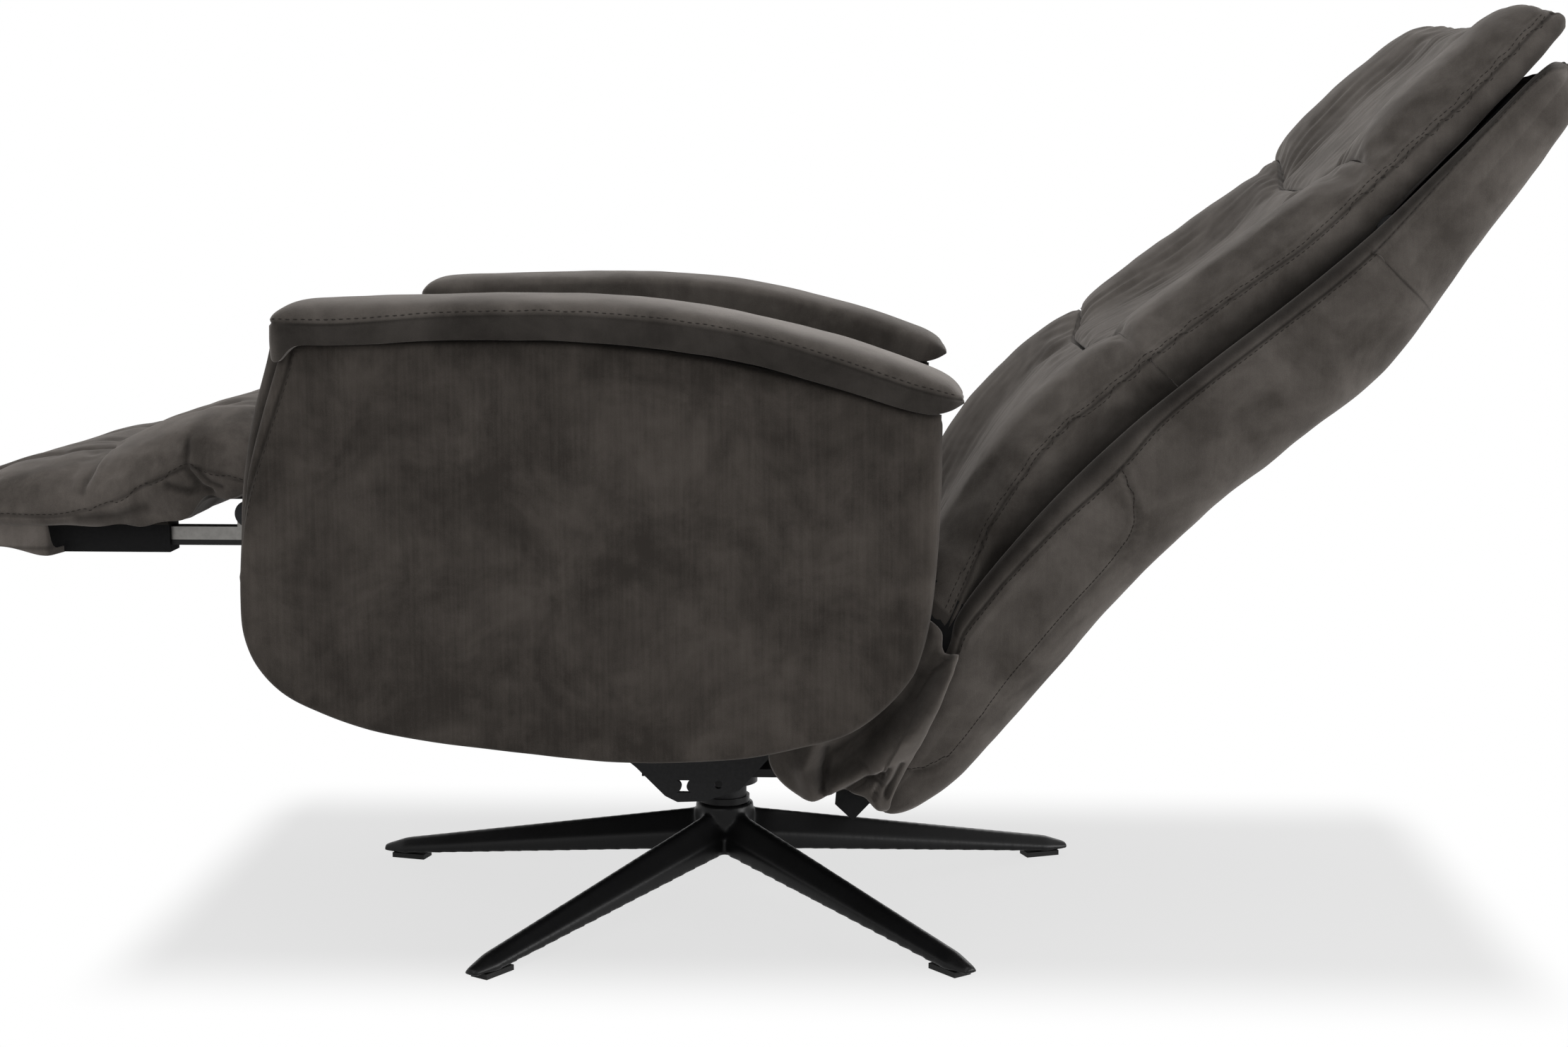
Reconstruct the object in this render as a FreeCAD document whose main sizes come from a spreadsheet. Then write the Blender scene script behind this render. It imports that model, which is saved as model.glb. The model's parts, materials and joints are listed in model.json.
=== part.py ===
# Swivel recliner on a five-legged star base, modelled fully reclined with its leg rest out.
# The chair faces -Y, its back lies towards +Y, +Z is up and the floor is at Z = 0.
# Every length is in millimetres and every angle in degrees.
import FreeCAD, Part
import Sketcher
import math
import os

Vector = FreeCAD.Vector
Rotation = FreeCAD.Rotation
X_AXIS = Vector(1, 0, 0)
Y_AXIS = Vector(0, 1, 0)
Z_AXIS = Vector(0, 0, 1)

# Driving dimensions
# Heights are above the floor. Places ahead of the swivel axis have names with "front" and
# places behind it names with "rear". A name ending in "side" is a distance from the middle.
SIZES = {
    "swivel_front": 34.0,

    "leg_count": 5,
    "leg_turn": 21.2,
    "star_radius": 378.0,
    "hub_radius": 29.0,
    "hub_bottom": 38.0,
    "leg_root_width": 40.0,
    "leg_step": 7.0,
    "leg_root_bottom": 40.0,
    "leg_tip_width": 25.0,
    "leg_tip_top": 20.0,
    "leg_ridge_width": 7.0,
    "glide_height": 5.0,
    "glide_length": 36.0,
    "glide_width": 19.0,
    "column_radius": 22.0,
    "column_room": 58.0,
    "collar_radius": 25.0,
    "collar_height": 6.0,
    "column_fit": 0.05,
    "swivel_fit": 0.08,
    "washer_height": 3.0,
    "washer_radius": 20.0,
    "socket_drop": 20.0,
    "socket_radius": 33.0,

    "swivel_plate_height": 8.0,
    "swivel_plate_length": 150.0,
    "mechanism_side": 81.0,
    "mechanism_wall": 6.0,
    "mechanism_skirt": 21.0,
    "mechanism_rise": 37.0,
    "mechanism_front": 185.0,
    "mechanism_rear": 95.0,
    "lobe_front": 40.0,
    "lobe_length": 26.0,
    "slot_height": 12.0,
    "slot_length": 34.0,
    "tie_hole_radius": 4.0,
    "tube_width": 30.0,
    "chassis_margin": 35.0,
    "front_tube_drop": 145.0,
    "rear_tube_drop": 95.0,
    "bracket_wall": 8.0,
    "bracket_margin": 10.0,
    "bolt_radius": 4.0,
    "bolt_head_radius": 7.0,
    "bolt_head_height": 4.0,
    "bolt_fit": 0.1,
    "track_width": 20.0,
    "track_height": 22.0,
    "track_slope": 8.0,
    "runner_width": 29.0,
    "runner_length": 118.0,
    "runner_height": 30.0,
    "runner_front": 130.0,
    "slide_gap": 0.3,

    "arm_width": 115.0,
    "arm_front": 384.0,
    "arm_rear": 206.0,
    "arm_bottom": 213.0,
    "arm_top": 568.0,
    "panel_wall": 15.0,
    "panel_crown": 3.0,
    "panel_edge": 7.0,
    "border_wall": 10.0,
    "frame_rail": 38.0,
    "soft_gap": 0.3,
    "pad_overhang": 12.0,
    "pad_lap": 5.0,
    "pad_front": 361.0,
    "pad_rear": 224.0,
    "pad_band": 21.0,
    "pad_crown": 18.0,
    "pad_nose": 12.0,

    "control_front": 180.0,
    "control_length": 84.0,
    "control_drop": 78.0,
    "control_height": 30.0,
    "control_wall": 4.0,
    "button_radius": 7.0,
    "button_height": 4.0,
    "button_proud": 1.6,
    "button_fit": 0.1,
    "button_count": 4,
    "control_box_length": 110.0,
    "control_box_width": 120.0,
    "control_box_height": 34.0,

    "pivot_rear": 150.0,
    "pivot_height": 370.0,
    "seat_slope": 3.2,
    "rail_side": 225.0,
    "rail_width": 25.0,
    "rail_height": 30.0,
    "rail_front": 500.0,
    "rail_rear_gap": 26.0,
    "seat_tube_width": 25.0,
    "motor_tube_front": 307.0,
    "link_tube_front": 133.0,
    "rear_tube_front": 60.0,
    "hinge_wall": 5.0,
    "hinge_radius": 25.0,
    "pin_radius": 8.0,
    "pin_fit": 0.08,
    "pin_head_radius": 12.0,
    "pin_head_height": 3.0,
    "hinge_gap": 0.5,
    "strap_count": 6,
    "strap_width": 50.0,
    "strap_pitch": 78.0,
    "strap_height": 3.0,
    "seat_overhang": 30.0,
    "seat_front": 455.0,
    "seat_rear": 128.0,
    "knee_rise": 150.0,
    "seat_depth": 100.0,

    "back_angle": 47.0,
    "back_length": 750.0,
    "board_wall": 3.5,
    "board_margin": 10.0,
    "cushion_overhang": 25.0,
    "boxing_inset": 27.0,
    "bolster_share": 0.76,
    "post_width": 20.0,
    "post_depth": 22.0,
    "foot_tube_width": 22.0,
    "lug_depth": 112.0,
    "lug_radius": 14.0,
    "lug_wall": 6.0,
    "shell_overhang": 25.5,
    "shell_wall": 18.0,
    "shell_rear_wall": 22.0,
    "shell_room": 63.0,
    "shell_corner": 40.0,
    "split_gap": 1.5,
    "head_pivot_depth": 128.0,
    "head_lug_radius": 12.0,
    "head_lug_wall": 8.0,
    "head_lug_gap": 1.0,
    "head_pin_radius": 4.0,
    "notch_angle": 9.6,
    "flap_wall": 3.0,

    "fold_front": 418.0,
    "fold_rise": 32.0,
    "ear_gap": 2.0,
    "fold_lug_wall": 6.0,
    "fold_lug_radius": 12.0,
    "fold_pin_radius": 5.0,
    "slide_side": 188.0,
    "slide_width": 18.0,
    "slide_drop": 13.0,
    "slide_height": 12.0,
    "slide_front": 585.0,
    "slide_rear": 415.0,
    "strip_height": 5.0,
    "channel_wall": 5.0,
    "channel_front": 608.0,
    "channel_length": 117.0,
    "channel_drop": 23.0,
    "channel_rise": 2.5,
    "slide_play": 1.0,
    "channel_play": 0.3,
    "link_tube_depth": 18.0,
    "crank_length": 100.0,
    "crank_lean": 20.0,
    "board_thickness": 8.5,
    "pad_board_side": 215.0,
    "pad_side": 248.0,
    "rest_front": 697.0,
    "rest_rear": 461.0,
    "rest_depth": 96.0,
    "valance_side": 241.0,
    "valance_front": 694.0,
    "valance_length": 92.0,
    "valance_drop": 30.0,
    "valance_wall": 3.0,

    "motor_side": 45.0,
    "motor_front": 170.0,
    "motor_drop": 65.0,
    "leg_motor_rear": 5.0,
    "leg_motor_drop": 80.0,
    "motor_ear_wall": 12.0,
    "motor_ear_radius": 14.0,
    "motor_block_start": 22.0,
    "motor_block_length": 100.0,
    "motor_block_width": 44.0,
    "motor_block_height": 40.0,
    "motor_tube_radius": 17.0,
    "motor_tube_reach": 262.0,
    "leg_motor_reach": 320.0,
    "leg_motor_stroke": 120.0,
    "motor_bore_radius": 10.2,
    "motor_rod_radius": 10.0,
    "motor_eye_wall": 10.0,
    "motor_eye_radius": 11.0,
    "motor_neck": 26.0,
    "motor_pin_radius": 6.0,
    "fork_gap": 0.6,

    "cut_overrun": 2.0,
}

# Shares chosen by hand. Arm outline: share of its length from the front, share of its height
# from the bottom, and the arc radius to the next point as a share of the length (None = straight).
ARM_OUTLINE_SHARES = [
    (0.085, 0.992, 1.595),
    (0.000, 0.386, 0.149),
    (0.114, 0.113, 1.795),
    (0.649, 0.000, 0.520),
    (0.920, 0.130, 0.193),
    (0.986, 0.366, 2.454),
    (1.000, 0.825, 1.937),
    (0.375, 1.000, None),
]
# The padded border stands proud of that outline along the front.
ARM_BORDER_SHARES = [
    (0.040, 0.990, 2.000),
    (-0.018, 0.440, 0.240),
    (0.112, 0.112, 1.795),
    (0.649, 0.000, 0.520),
    (0.920, 0.130, 0.193),
    (0.986, 0.366, 2.454),
    (1.000, 0.825, 1.937),
    (0.375, 1.000, None),
]
# Arm pad: share of the pad's length from its front end, height of its underside as a share of
# the arm's height, width, band and crown as shares of their full sizes.
ARM_PAD_SHARES = [
    (0.000, 0.966, 0.86, 0.70, 0.40),
    (0.022, 0.970, 0.95, 0.98, 0.80),
    (0.065, 0.980, 1.00, 1.06, 1.00),
    (0.200, 0.985, 1.00, 1.10, 1.00),
    (0.420, 0.986, 1.00, 1.10, 1.00),
    (0.600, 0.956, 1.00, 1.08, 1.00),
    (0.760, 0.908, 1.00, 1.06, 1.00),
    (0.900, 0.852, 0.99, 1.04, 1.00),
    (0.970, 0.836, 0.95, 0.90, 0.85),
    (1.000, 0.836, 0.86, 0.70, 0.45),
]
# Seat: place between front and rear, then underside, seam and crest below the knee height as
# shares of the seat's depth.
SEAT_SHARES = [
    (0.000, 0.600, 0.420, 0.270),
    (0.026, 0.720, 0.500, 0.160),
    (0.075, 0.900, 0.520, 0.060),
    (0.146, 1.050, 0.540, 0.000),
    (0.440, 1.160, 0.650, 0.200),
    (0.780, 1.260, 0.880, 0.460),
    (0.950, 1.320, 1.050, 0.640),
    (1.000, 1.340, 1.150, 0.850),
]
# Back cushions: height up the back as a share of its length, then crest, middle, seam and
# boxing edge as shares of the board's depth, and half width as a share of the cushion's.
LUMBAR_SHARES = [
    (0.007, 0.272, 0.368, 0.672, 0.736, 0.960),
    (0.053, 0.176, 0.304, 0.584, 0.650, 0.980),
    (0.127, 0.104, 0.248, 0.400, 0.610, 0.990),
    (0.253, 0.040, 0.216, 0.336, 0.640, 0.990),
    (0.333, 0.088, 0.264, 0.400, 0.664, 0.990),
    (0.367, 0.192, 0.368, 0.440, 0.672, 0.985),
]
MIDDLE_SHARES = [
    (0.371, 0.200, 0.368, 0.448, 0.672, 0.985),
    (0.400, 0.136, 0.304, 0.448, 0.696, 0.990),
    (0.533, 0.264, 0.432, 0.584, 0.808, 0.995),
    (0.627, 0.368, 0.528, 0.688, 0.888, 0.990),
    (None, 0.496, 0.640, 0.720, 0.912, 0.980),
]
HEAD_SHARES = [
    (None, 0.512, 0.648, 0.728, 0.920, 0.980),
    (0.747, 0.424, 0.552, 0.728, 0.944, 0.975),
    (0.827, 0.400, 0.528, 0.760, 0.960, 0.960),
    (0.907, 0.448, 0.560, 0.776, 0.960, 0.930),
    (0.967, 0.560, 0.632, 0.792, 0.952, 0.880),
    (0.997, 0.736, 0.752, 0.808, 0.896, 0.800),
]
# Back shell: height up the back as a share of its length, half width as a share, front edge
# and rear face as shares of the shell's depth.
SHELL_SHARES = [
    (-0.207, 0.881, 0.737, 0.883),
    (-0.160, 0.937, 0.657, 0.920),
    (-0.067, 0.979, 0.554, 0.911),
    (0.053, 0.993, 0.441, 0.873),
    (0.187, 1.000, 0.451, 0.836),
    (0.333, 1.000, 0.446, 0.883),
    (0.480, 0.993, 0.502, 0.972),
    (0.587, 0.979, 0.582, 1.000),
    (0.650, 0.968, 0.596, 0.967),
]
HEAD_SHELL_SHARES = [
    (0.650, 0.968, 0.596, 0.967),
    (0.747, 0.937, 0.587, 0.920),
    (0.853, 0.902, 0.577, 0.864),
    (0.933, 0.839, 0.592, 0.798),
    (0.973, 0.762, 0.668, 0.742),
]
# Leg rest pad: place between rear and front, crest, seam and half width as shares.
REST_SHARES = [
    (0.000, 0.980, 0.500, 0.975),
    (0.150, 0.880, 0.330, 0.990),
    (0.300, 0.710, 0.190, 1.000),
    (0.530, 0.590, 0.080, 1.000),
    (0.760, 0.450, 0.060, 0.990),
    (0.930, 0.290, 0.055, 0.960),
    (1.000, 0.150, 0.050, 0.900),
]
REST_CORNER_SHARE = 0.16
COLUMN_SHARE = 0.5
HUB_SHARE = 0.685039
POST_BOTTOM_SHARE = 0.22
LUG_DROP_SHARE = 0.23333
POST_TOP_SHARE = 0.648
HEAD_PIVOT_SHARE = 0.68667
HEAD_POST_BOTTOM_SHARE = 0.71333
HEAD_POST_TOP_SHARE = 0.90133
# Side flap beside the lower back: height up the back as a share of its length, depth as a
# share of the board's depth.
FLAP_SHARES = [
    (-0.011, 0.805),
    (-0.067, 0.918),
    (-0.153, 1.079),
    (-0.173, 0.998),
    (-0.211, 0.942),
    (-0.253, 0.845),
    (-0.267, 0.580),
    (-0.256, 0.451),
    (-0.144, 0.467),
    (-0.047, 0.676),
]

doc = FreeCAD.newDocument("recliner")
sheet = doc.addObject("Spreadsheet::Sheet", "Sizes")
for row, (word, number) in enumerate(SIZES.items(), start=1):
    sheet.set(f"A{row}", word)
    sheet.set(f"B{row}", str(number))
    sheet.setAlias(f"B{row}", word)
doc.recompute()


class Size:
    """A number together with the sheet formula that gives it."""

    def __init__(self, number, formula):
        self.number = float(number)
        self.formula = formula

    def __add__(self, other):
        other = as_size(other)
        return Size(self.number + other.number, f"({self.formula} + {other.formula})")

    def __sub__(self, other):
        other = as_size(other)
        return Size(self.number - other.number, f"({self.formula} - {other.formula})")

    def __mul__(self, other):
        other = as_size(other)
        return Size(self.number * other.number, f"({self.formula} * {other.formula})")

    def __truediv__(self, other):
        other = as_size(other)
        return Size(self.number / other.number, f"({self.formula} / {other.formula})")

    def __radd__(self, other):
        return as_size(other) + self

    def __rsub__(self, other):
        return as_size(other) - self

    def __rmul__(self, other):
        return as_size(other) * self

    def __neg__(self):
        return Size(-self.number, f"(0 - {self.formula})")


def as_size(value):
    if isinstance(value, Size):
        return value
    return Size(value, repr(float(value)))


def size(word):
    return Size(sheet.get(word), f"Sizes.{word}")


def cos_of(angle):
    return Size(math.cos(math.radians(angle.number)), f"cos({angle.formula})")


def sin_of(angle):
    return Size(math.sin(math.radians(angle.number)), f"sin({angle.formula})")


def angle_of(rise, run):
    number = math.degrees(math.atan2(rise.number, run.number))
    return Size(number, f"atan2({rise.formula}; {run.formula})")


def length_of(rise, run):
    number = math.hypot(rise.number, run.number)
    return Size(number, f"sqrt(pow({rise.formula}; 2) + pow({run.formula}; 2))")


ZERO = Size(0, "0")
OVERRUN = size("cut_overrun")
SIDES = {"left": 1, "right": -1}
SWIVEL_Y = -size("swivel_front")
PIVOT = (size("pivot_rear"), size("pivot_height"))

# Sizes that follow from others
COLUMN_TOP = size("pivot_height") * COLUMN_SHARE - size("column_room")
HUB_TOP = COLUMN_TOP * HUB_SHARE
TRACK_SIDE = size("rail_side") - size("runner_width")
CHASSIS_SIDE = size("rail_side") + size("chassis_margin")
ARM_INNER = CHASSIS_SIDE + size("bracket_wall")
SEAT_HALF_WIDTH = size("rail_side") + size("seat_overhang")
CUSHION_HALF_WIDTH = size("rail_side") + size("cushion_overhang")
BOARD_HALF_WIDTH = size("rail_side") - size("board_margin")
POST_SIDE = size("rail_side")
HINGE_OUTER = POST_SIDE + size("rail_width") + size("hinge_wall") * 2 + size("hinge_gap")
SHELL_HALF_WIDTH = HINGE_OUTER + size("shell_overhang")
FLAP_SIDE = HINGE_OUTER + size("soft_gap")
BOARD_DEPTH = size("head_pivot_depth") - size("board_wall") - size("soft_gap")
SHELL_DEPTH = size("head_pivot_depth") + size("post_depth") + size("shell_room")
POST_BOTTOM = size("back_length") * POST_BOTTOM_SHARE
LUG_DROP = size("back_length") * LUG_DROP_SHARE
POST_TOP = size("back_length") * POST_TOP_SHARE
HEAD_PIVOT_HEIGHT = size("back_length") * HEAD_PIVOT_SHARE
HEAD_POST_BOTTOM = size("back_length") * HEAD_POST_BOTTOM_SHARE
HEAD_POST_TOP = size("back_length") * HEAD_POST_TOP_SHARE
FOLD_HEIGHT = size("pivot_height") + size("fold_rise")
FOLD_LUG_SIDE = size("slide_side") + size("slide_width") + size("ear_gap")
SLIDE_TOP = FOLD_HEIGHT - size("slide_drop")
CHANNEL_BOTTOM = SLIDE_TOP - size("channel_drop")
CHANNEL_TOP = SLIDE_TOP + size("channel_rise")
MOTOR_HEIGHT = size("pivot_height") - size("motor_drop")
LEG_MOTOR_HEIGHT = size("pivot_height") - size("leg_motor_drop")
KNEE_HEIGHT = size("pivot_height") + size("knee_rise")
REAR_TUBE_BOTTOM = size("pivot_height") - size("rear_tube_drop")
FRONT_TUBE_BOTTOM = size("pivot_height") - size("front_tube_drop")
MECHANISM_TOP = FRONT_TUBE_BOTTOM + size("mechanism_rise")
MECHANISM_BOTTOM = COLUMN_TOP - size("mechanism_skirt")
SOCKET_BOTTOM = COLUMN_TOP - size("socket_drop")
CONTROL_BOTTOM = size("arm_top") - size("control_drop")


class Frame:
    """A place that sub-parts are built in: an origin behind the swivel axis and a tilt about X."""

    def __init__(self, rear=ZERO, height=ZERO, tilt=ZERO):
        self.rear = rear
        self.height = height
        self.tilt = tilt

    def place(self, item):
        item.Placement = FreeCAD.Placement(Vector(0, 0, 0), Rotation(X_AXIS, self.tilt.number))
        if self.tilt.number:
            item.setExpression("Placement.Rotation.Angle", self.tilt.formula)
        item.setExpression("Placement.Base.y", (SWIVEL_Y + self.rear).formula)
        item.setExpression("Placement.Base.z", self.height.formula)

    def point(self, along, normal):
        """The chair's own rear and height of a point given in this frame."""
        cosine = cos_of(self.tilt)
        sine = sin_of(self.tilt)
        rear = self.rear + along * cosine - normal * sine
        height = self.height + along * sine + normal * cosine
        return rear, height


CHAIR = Frame()
SEAT = Frame(PIVOT[0], PIVOT[1], -size("seat_slope"))
BACK = Frame(PIVOT[0], PIVOT[1], size("back_angle"))

nodes = []


def keep(item, label, frame):
    """Names a finished sub-part, places it and lists it for the export."""
    item.Label = label
    frame.place(item)
    nodes.append(item)
    return item


def bind_place(item, x, y, z):
    item.setExpression("Placement.Base.x", as_size(x).formula)
    item.setExpression("Placement.Base.y", as_size(y).formula)
    item.setExpression("Placement.Base.z", as_size(z).formula)


def box(x_span, y_span, z_span):
    item = doc.addObject("Part::Box", "Box")
    for name, span in (("Length", x_span), ("Width", y_span), ("Height", z_span)):
        item.setExpression(name, (as_size(span[1]) - span[0]).formula)
    bind_place(item, x_span[0], y_span[0], z_span[0])
    return item


def cylinder(radius, length, start, axis=Z_AXIS):
    item = doc.addObject("Part::Cylinder", "Cylinder")
    item.Placement = FreeCAD.Placement(Vector(0, 0, 0), Rotation(Z_AXIS, axis))
    item.setExpression("Radius", as_size(radius).formula)
    item.setExpression("Height", as_size(length).formula)
    bind_place(item, *start)
    return item


def side_span(side, near, far):
    """An X span between two distances from the middle, on the left or the right."""
    if side > 0:
        return as_size(near), as_size(far)
    return -as_size(far), -as_size(near)


def side_cylinder(side, radius, near, far, y, z):
    low, high = side_span(side, near, far)
    return cylinder(radius, high - low, (low, y, z), X_AXIS)


def fused(items):
    if len(items) == 1:
        return items[0]
    item = doc.addObject("Part::MultiFuse", "Fusion")
    item.Shapes = items
    return item


def drilled(solids, cuts):
    """Solids joined, with holes cut through them."""
    item = doc.addObject("Part::Cut", "Cut")
    item.Base = fused(list(solids))
    item.Tool = fused(list(cuts))
    return item


def assemble(label, frame, solids, cuts=()):
    """One piece: its solids joined, with any holes cut."""
    item = drilled(solids, cuts) if cuts else fused(list(solids))
    if not cuts and len(solids) == 1:
        whole = item
        item = doc.addObject("Part::Compound", "Single")
        item.Links = [whole]
    return keep(item, label, frame)


def group(label, frame, solids):
    """Like pieces that share one node, each a solid of its own."""
    item = doc.addObject("Part::Compound", "Group")
    item.Links = list(solids)
    return keep(item, label, frame)


def origin_plane(body, role):
    return next(item for item in body.Origin.OriginFeatures if item.Role == role)


def arc_middle(start, end, radius):
    """The middle of a minor arc that bulges to the right of the way from start to end."""
    chord = end.sub(start)
    half = chord.Length / 2
    sagitta = radius - math.sqrt(radius * radius - half * half)
    outward = Vector(chord.y, -chord.x, 0).normalize()
    return start.add(end).multiply(0.5).add(outward.multiply(sagitta))


def outline_sketch(body, name, role, offset, loops):
    """A sketch of closed loops. Each corner is (a, b, radius of the arc to the next or None)."""
    sketch = body.newObject("Sketcher::SketchObject", name)
    sketch.AttachmentSupport = [(origin_plane(body, role), "")]
    sketch.MapMode = "FlatFace"
    sketch.setExpression("AttachmentOffset.Base.z", as_size(offset).formula)
    for corners in loops:
        first = sketch.GeometryCount
        count = len(corners)
        places = [Vector(as_size(a).number, as_size(b).number, 0) for a, b, _ in corners]
        for index, (_, _, radius) in enumerate(corners):
            start = places[index]
            end = places[(index + 1) % count]
            if radius is None:
                sketch.addGeometry(Part.LineSegment(start, end), False)
            else:
                middle = arc_middle(start, end, radius.number)
                sketch.addGeometry(Part.Arc(start, middle, end), False)
        for index, (a, b, radius) in enumerate(corners):
            this = first + index
            following = first + (index + 1) % count
            near = OVERRUN.number / 1000
            kept = sketch.getPoint(this, 1).sub(places[index]).Length < near
            edge_start, edge_end = (1, 2) if kept else (2, 1)
            kept = sketch.getPoint(following, 1).sub(places[(index + 1) % count]).Length < near
            next_start = (1, 2)[not kept]
            for kind, value in (("DistanceX", as_size(a)), ("DistanceY", as_size(b))):
                rule = Sketcher.Constraint(kind, -1, 1, this, edge_start, value.number)
                number = sketch.addConstraint(rule)
                sketch.setExpression(f"Constraints[{number}]", value.formula)
            sketch.addConstraint(Sketcher.Constraint("Coincident", this, edge_end, following, next_start))
            if radius is not None:
                rule = Sketcher.Constraint("Radius", this, radius.number)
                number = sketch.addConstraint(rule)
                sketch.setExpression(f"Constraints[{number}]", radius.formula)
    return sketch


def pad_feature(body, sketch, length):
    pad = body.newObject("PartDesign::Pad", "Pad")
    pad.Profile = sketch
    pad.setExpression("Length", as_size(length).formula)
    sketch.Visibility = False
    return pad


def plate(label, frame, x_start, x_end, loops):
    """A flat piece across X, cut out along loops given as (rear, height, radius) corners."""
    body = doc.addObject("PartDesign::Body", "Plate")
    sketch = outline_sketch(body, "Outline", "YZ_Plane", x_start, loops)
    pad_feature(body, sketch, as_size(x_end) - x_start)
    return keep(body, label, frame)


def circle_loop(y, z, radius):
    """A round hole as two half arcs, run the other way round so that it lies inside."""
    return [(y - radius, z, radius * HALF_TURN_SHARE), (y + radius, z, radius * HALF_TURN_SHARE)]


HALF_TURN_SHARE = 1.0000001


def lofted(label, frame, wires, ruled=False):
    """A soft or curved piece whose skin runs through its cross sections."""
    item = doc.addObject("Part::Feature", "Loft")
    item.Shape = Part.makeLoft(wires, True, ruled)
    return keep(item, label, frame)


def wire_of(edges):
    return Part.Wire(edges)


def line(start, end):
    return Part.LineSegment(start, end).toShape()


def arc(start, middle, end):
    return Part.Arc(start, middle, end).toShape()


# Base: star casting, glides, column, collar and thrust washer
def star_leg_section(body, radius, width, bottom, top, name):
    half = width / 2
    ridge = size("leg_ridge_width") / 2
    shoulder = bottom + (top - bottom) * LEG_SHOULDER_SHARE
    corners = [
        (-half, bottom, None),
        (half, bottom, None),
        (half, shoulder, None),
        (ridge, top, None),
        (-ridge, top, None),
        (-half, shoulder, None),
    ]
    return outline_sketch(body, name, "XZ_Plane", -radius, [corners])


LEG_SHOULDER_SHARE = 0.45
LEG_NOSE_SHARE = 0.55
HUB_NECK_SHARE = 0.55


def star_base():
    body = doc.addObject("PartDesign::Body", "Star")
    hub = outline_sketch(body, "HubProfile", "XZ_Plane", 0, [[
        (ZERO, size("hub_bottom"), None),
        (size("hub_radius") * HUB_NECK_SHARE, size("hub_bottom"), None),
        (size("hub_radius"), size("leg_root_bottom") + OVERRUN, None),
        (size("hub_radius"), HUB_TOP, None),
        (ZERO, HUB_TOP, None),
    ]])
    turned = body.newObject("PartDesign::Revolution", "Hub")
    turned.Profile = hub
    turned.ReferenceAxis = (hub, ["V_Axis"])
    turned.Angle = 360
    doc.recompute()
    tip_bottom = size("glide_height")
    root = star_leg_section(body, size("hub_radius") / 2, size("leg_root_width"),
                            size("leg_root_bottom"), HUB_TOP - size("leg_step"), "LegRoot")
    near_tip = star_leg_section(body, size("star_radius") - size("leg_tip_width"), size("leg_tip_width"),
                                tip_bottom, size("leg_tip_top"), "LegTip")
    nose = star_leg_section(body, size("star_radius"), size("leg_tip_width") * LEG_NOSE_SHARE,
                            tip_bottom, size("leg_tip_top") * LEG_NOSE_SHARE, "LegNose")
    leg = body.newObject("PartDesign::AdditiveLoft", "Leg")
    leg.Profile = root
    leg.Sections = [near_tip, nose]
    leg.Ruled = True
    doc.recompute()
    pattern = body.newObject("PartDesign::PolarPattern", "Legs")
    pattern.Originals = [leg]
    pattern.Axis = (origin_axis(body, "Z_Axis"), [""])
    pattern.Angle = 360
    pattern.setExpression("Occurrences", "Sizes.leg_count")
    body.Tip = pattern
    doc.recompute()
    before = body.Shape.Volume
    bore = outline_sketch(body, "BoreProfile", "XY_Plane", HUB_TOP + OVERRUN, [
        circle_loop(ZERO, ZERO, size("column_radius") + size("column_fit")),
    ])
    pocket = body.newObject("PartDesign::Pocket", "ColumnBore")
    pocket.Profile = bore
    pocket.setExpression("Length", (HUB_TOP - size("leg_root_bottom")).formula)
    doc.recompute()
    if body.Shape.Volume >= before:
        raise RuntimeError("the column bore cut nothing")
    keep(body, "star_base", CHAIR)
    turn_about_z(body)


def origin_axis(body, role):
    return next(item for item in body.Origin.OriginFeatures if item.Role == role)


def turn_about_z(item):
    item.Placement = FreeCAD.Placement(Vector(0, SWIVEL_Y.number, 0), Rotation(Z_AXIS, size("leg_turn").number))
    item.setExpression("Placement.Rotation.Angle", "Sizes.leg_turn")


def base_pieces():
    star_base()
    glides = []
    middle = size("star_radius") - size("leg_tip_width") / 2
    for number in range(int(SIZES["leg_count"])):
        turn = Size(number, str(number)) * 360 / size("leg_count") + size("leg_turn") + 90
        glide = doc.addObject("Part::Box", "Glide")
        glide.Placement = FreeCAD.Placement(Vector(0, 0, 0), Rotation(Z_AXIS, turn.number))
        glide.setExpression("Placement.Rotation.Angle", turn.formula)
        glide.setExpression("Length", "Sizes.glide_length")
        glide.setExpression("Width", "Sizes.glide_width")
        glide.setExpression("Height", "Sizes.glide_height")
        start = middle - size("glide_length")
        across = size("glide_width") / 2
        bind_place(glide,
                   start * cos_of(turn) + across * sin_of(turn),
                   start * sin_of(turn) - across * cos_of(turn),
                   0)
        glides.append(glide)
    group("base_glides", CHAIR, glides)
    bore_floor = size("leg_root_bottom") + OVERRUN
    assemble("column_tube", CHAIR, [
        cylinder(size("column_radius"), COLUMN_TOP - bore_floor, (0, 0, bore_floor)),
    ])
    assemble("column_collar", CHAIR, [
        cylinder(size("collar_radius"), size("collar_height"), (0, 0, HUB_TOP)),
    ], [
        cylinder(size("column_radius") + size("column_fit"), size("collar_height") + OVERRUN * 2,
                 (0, 0, HUB_TOP - OVERRUN)),
    ])
    assemble("thrust_washer", CHAIR, [
        cylinder(size("washer_radius"), size("washer_height"), (0, 0, COLUMN_TOP)),
    ])


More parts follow.
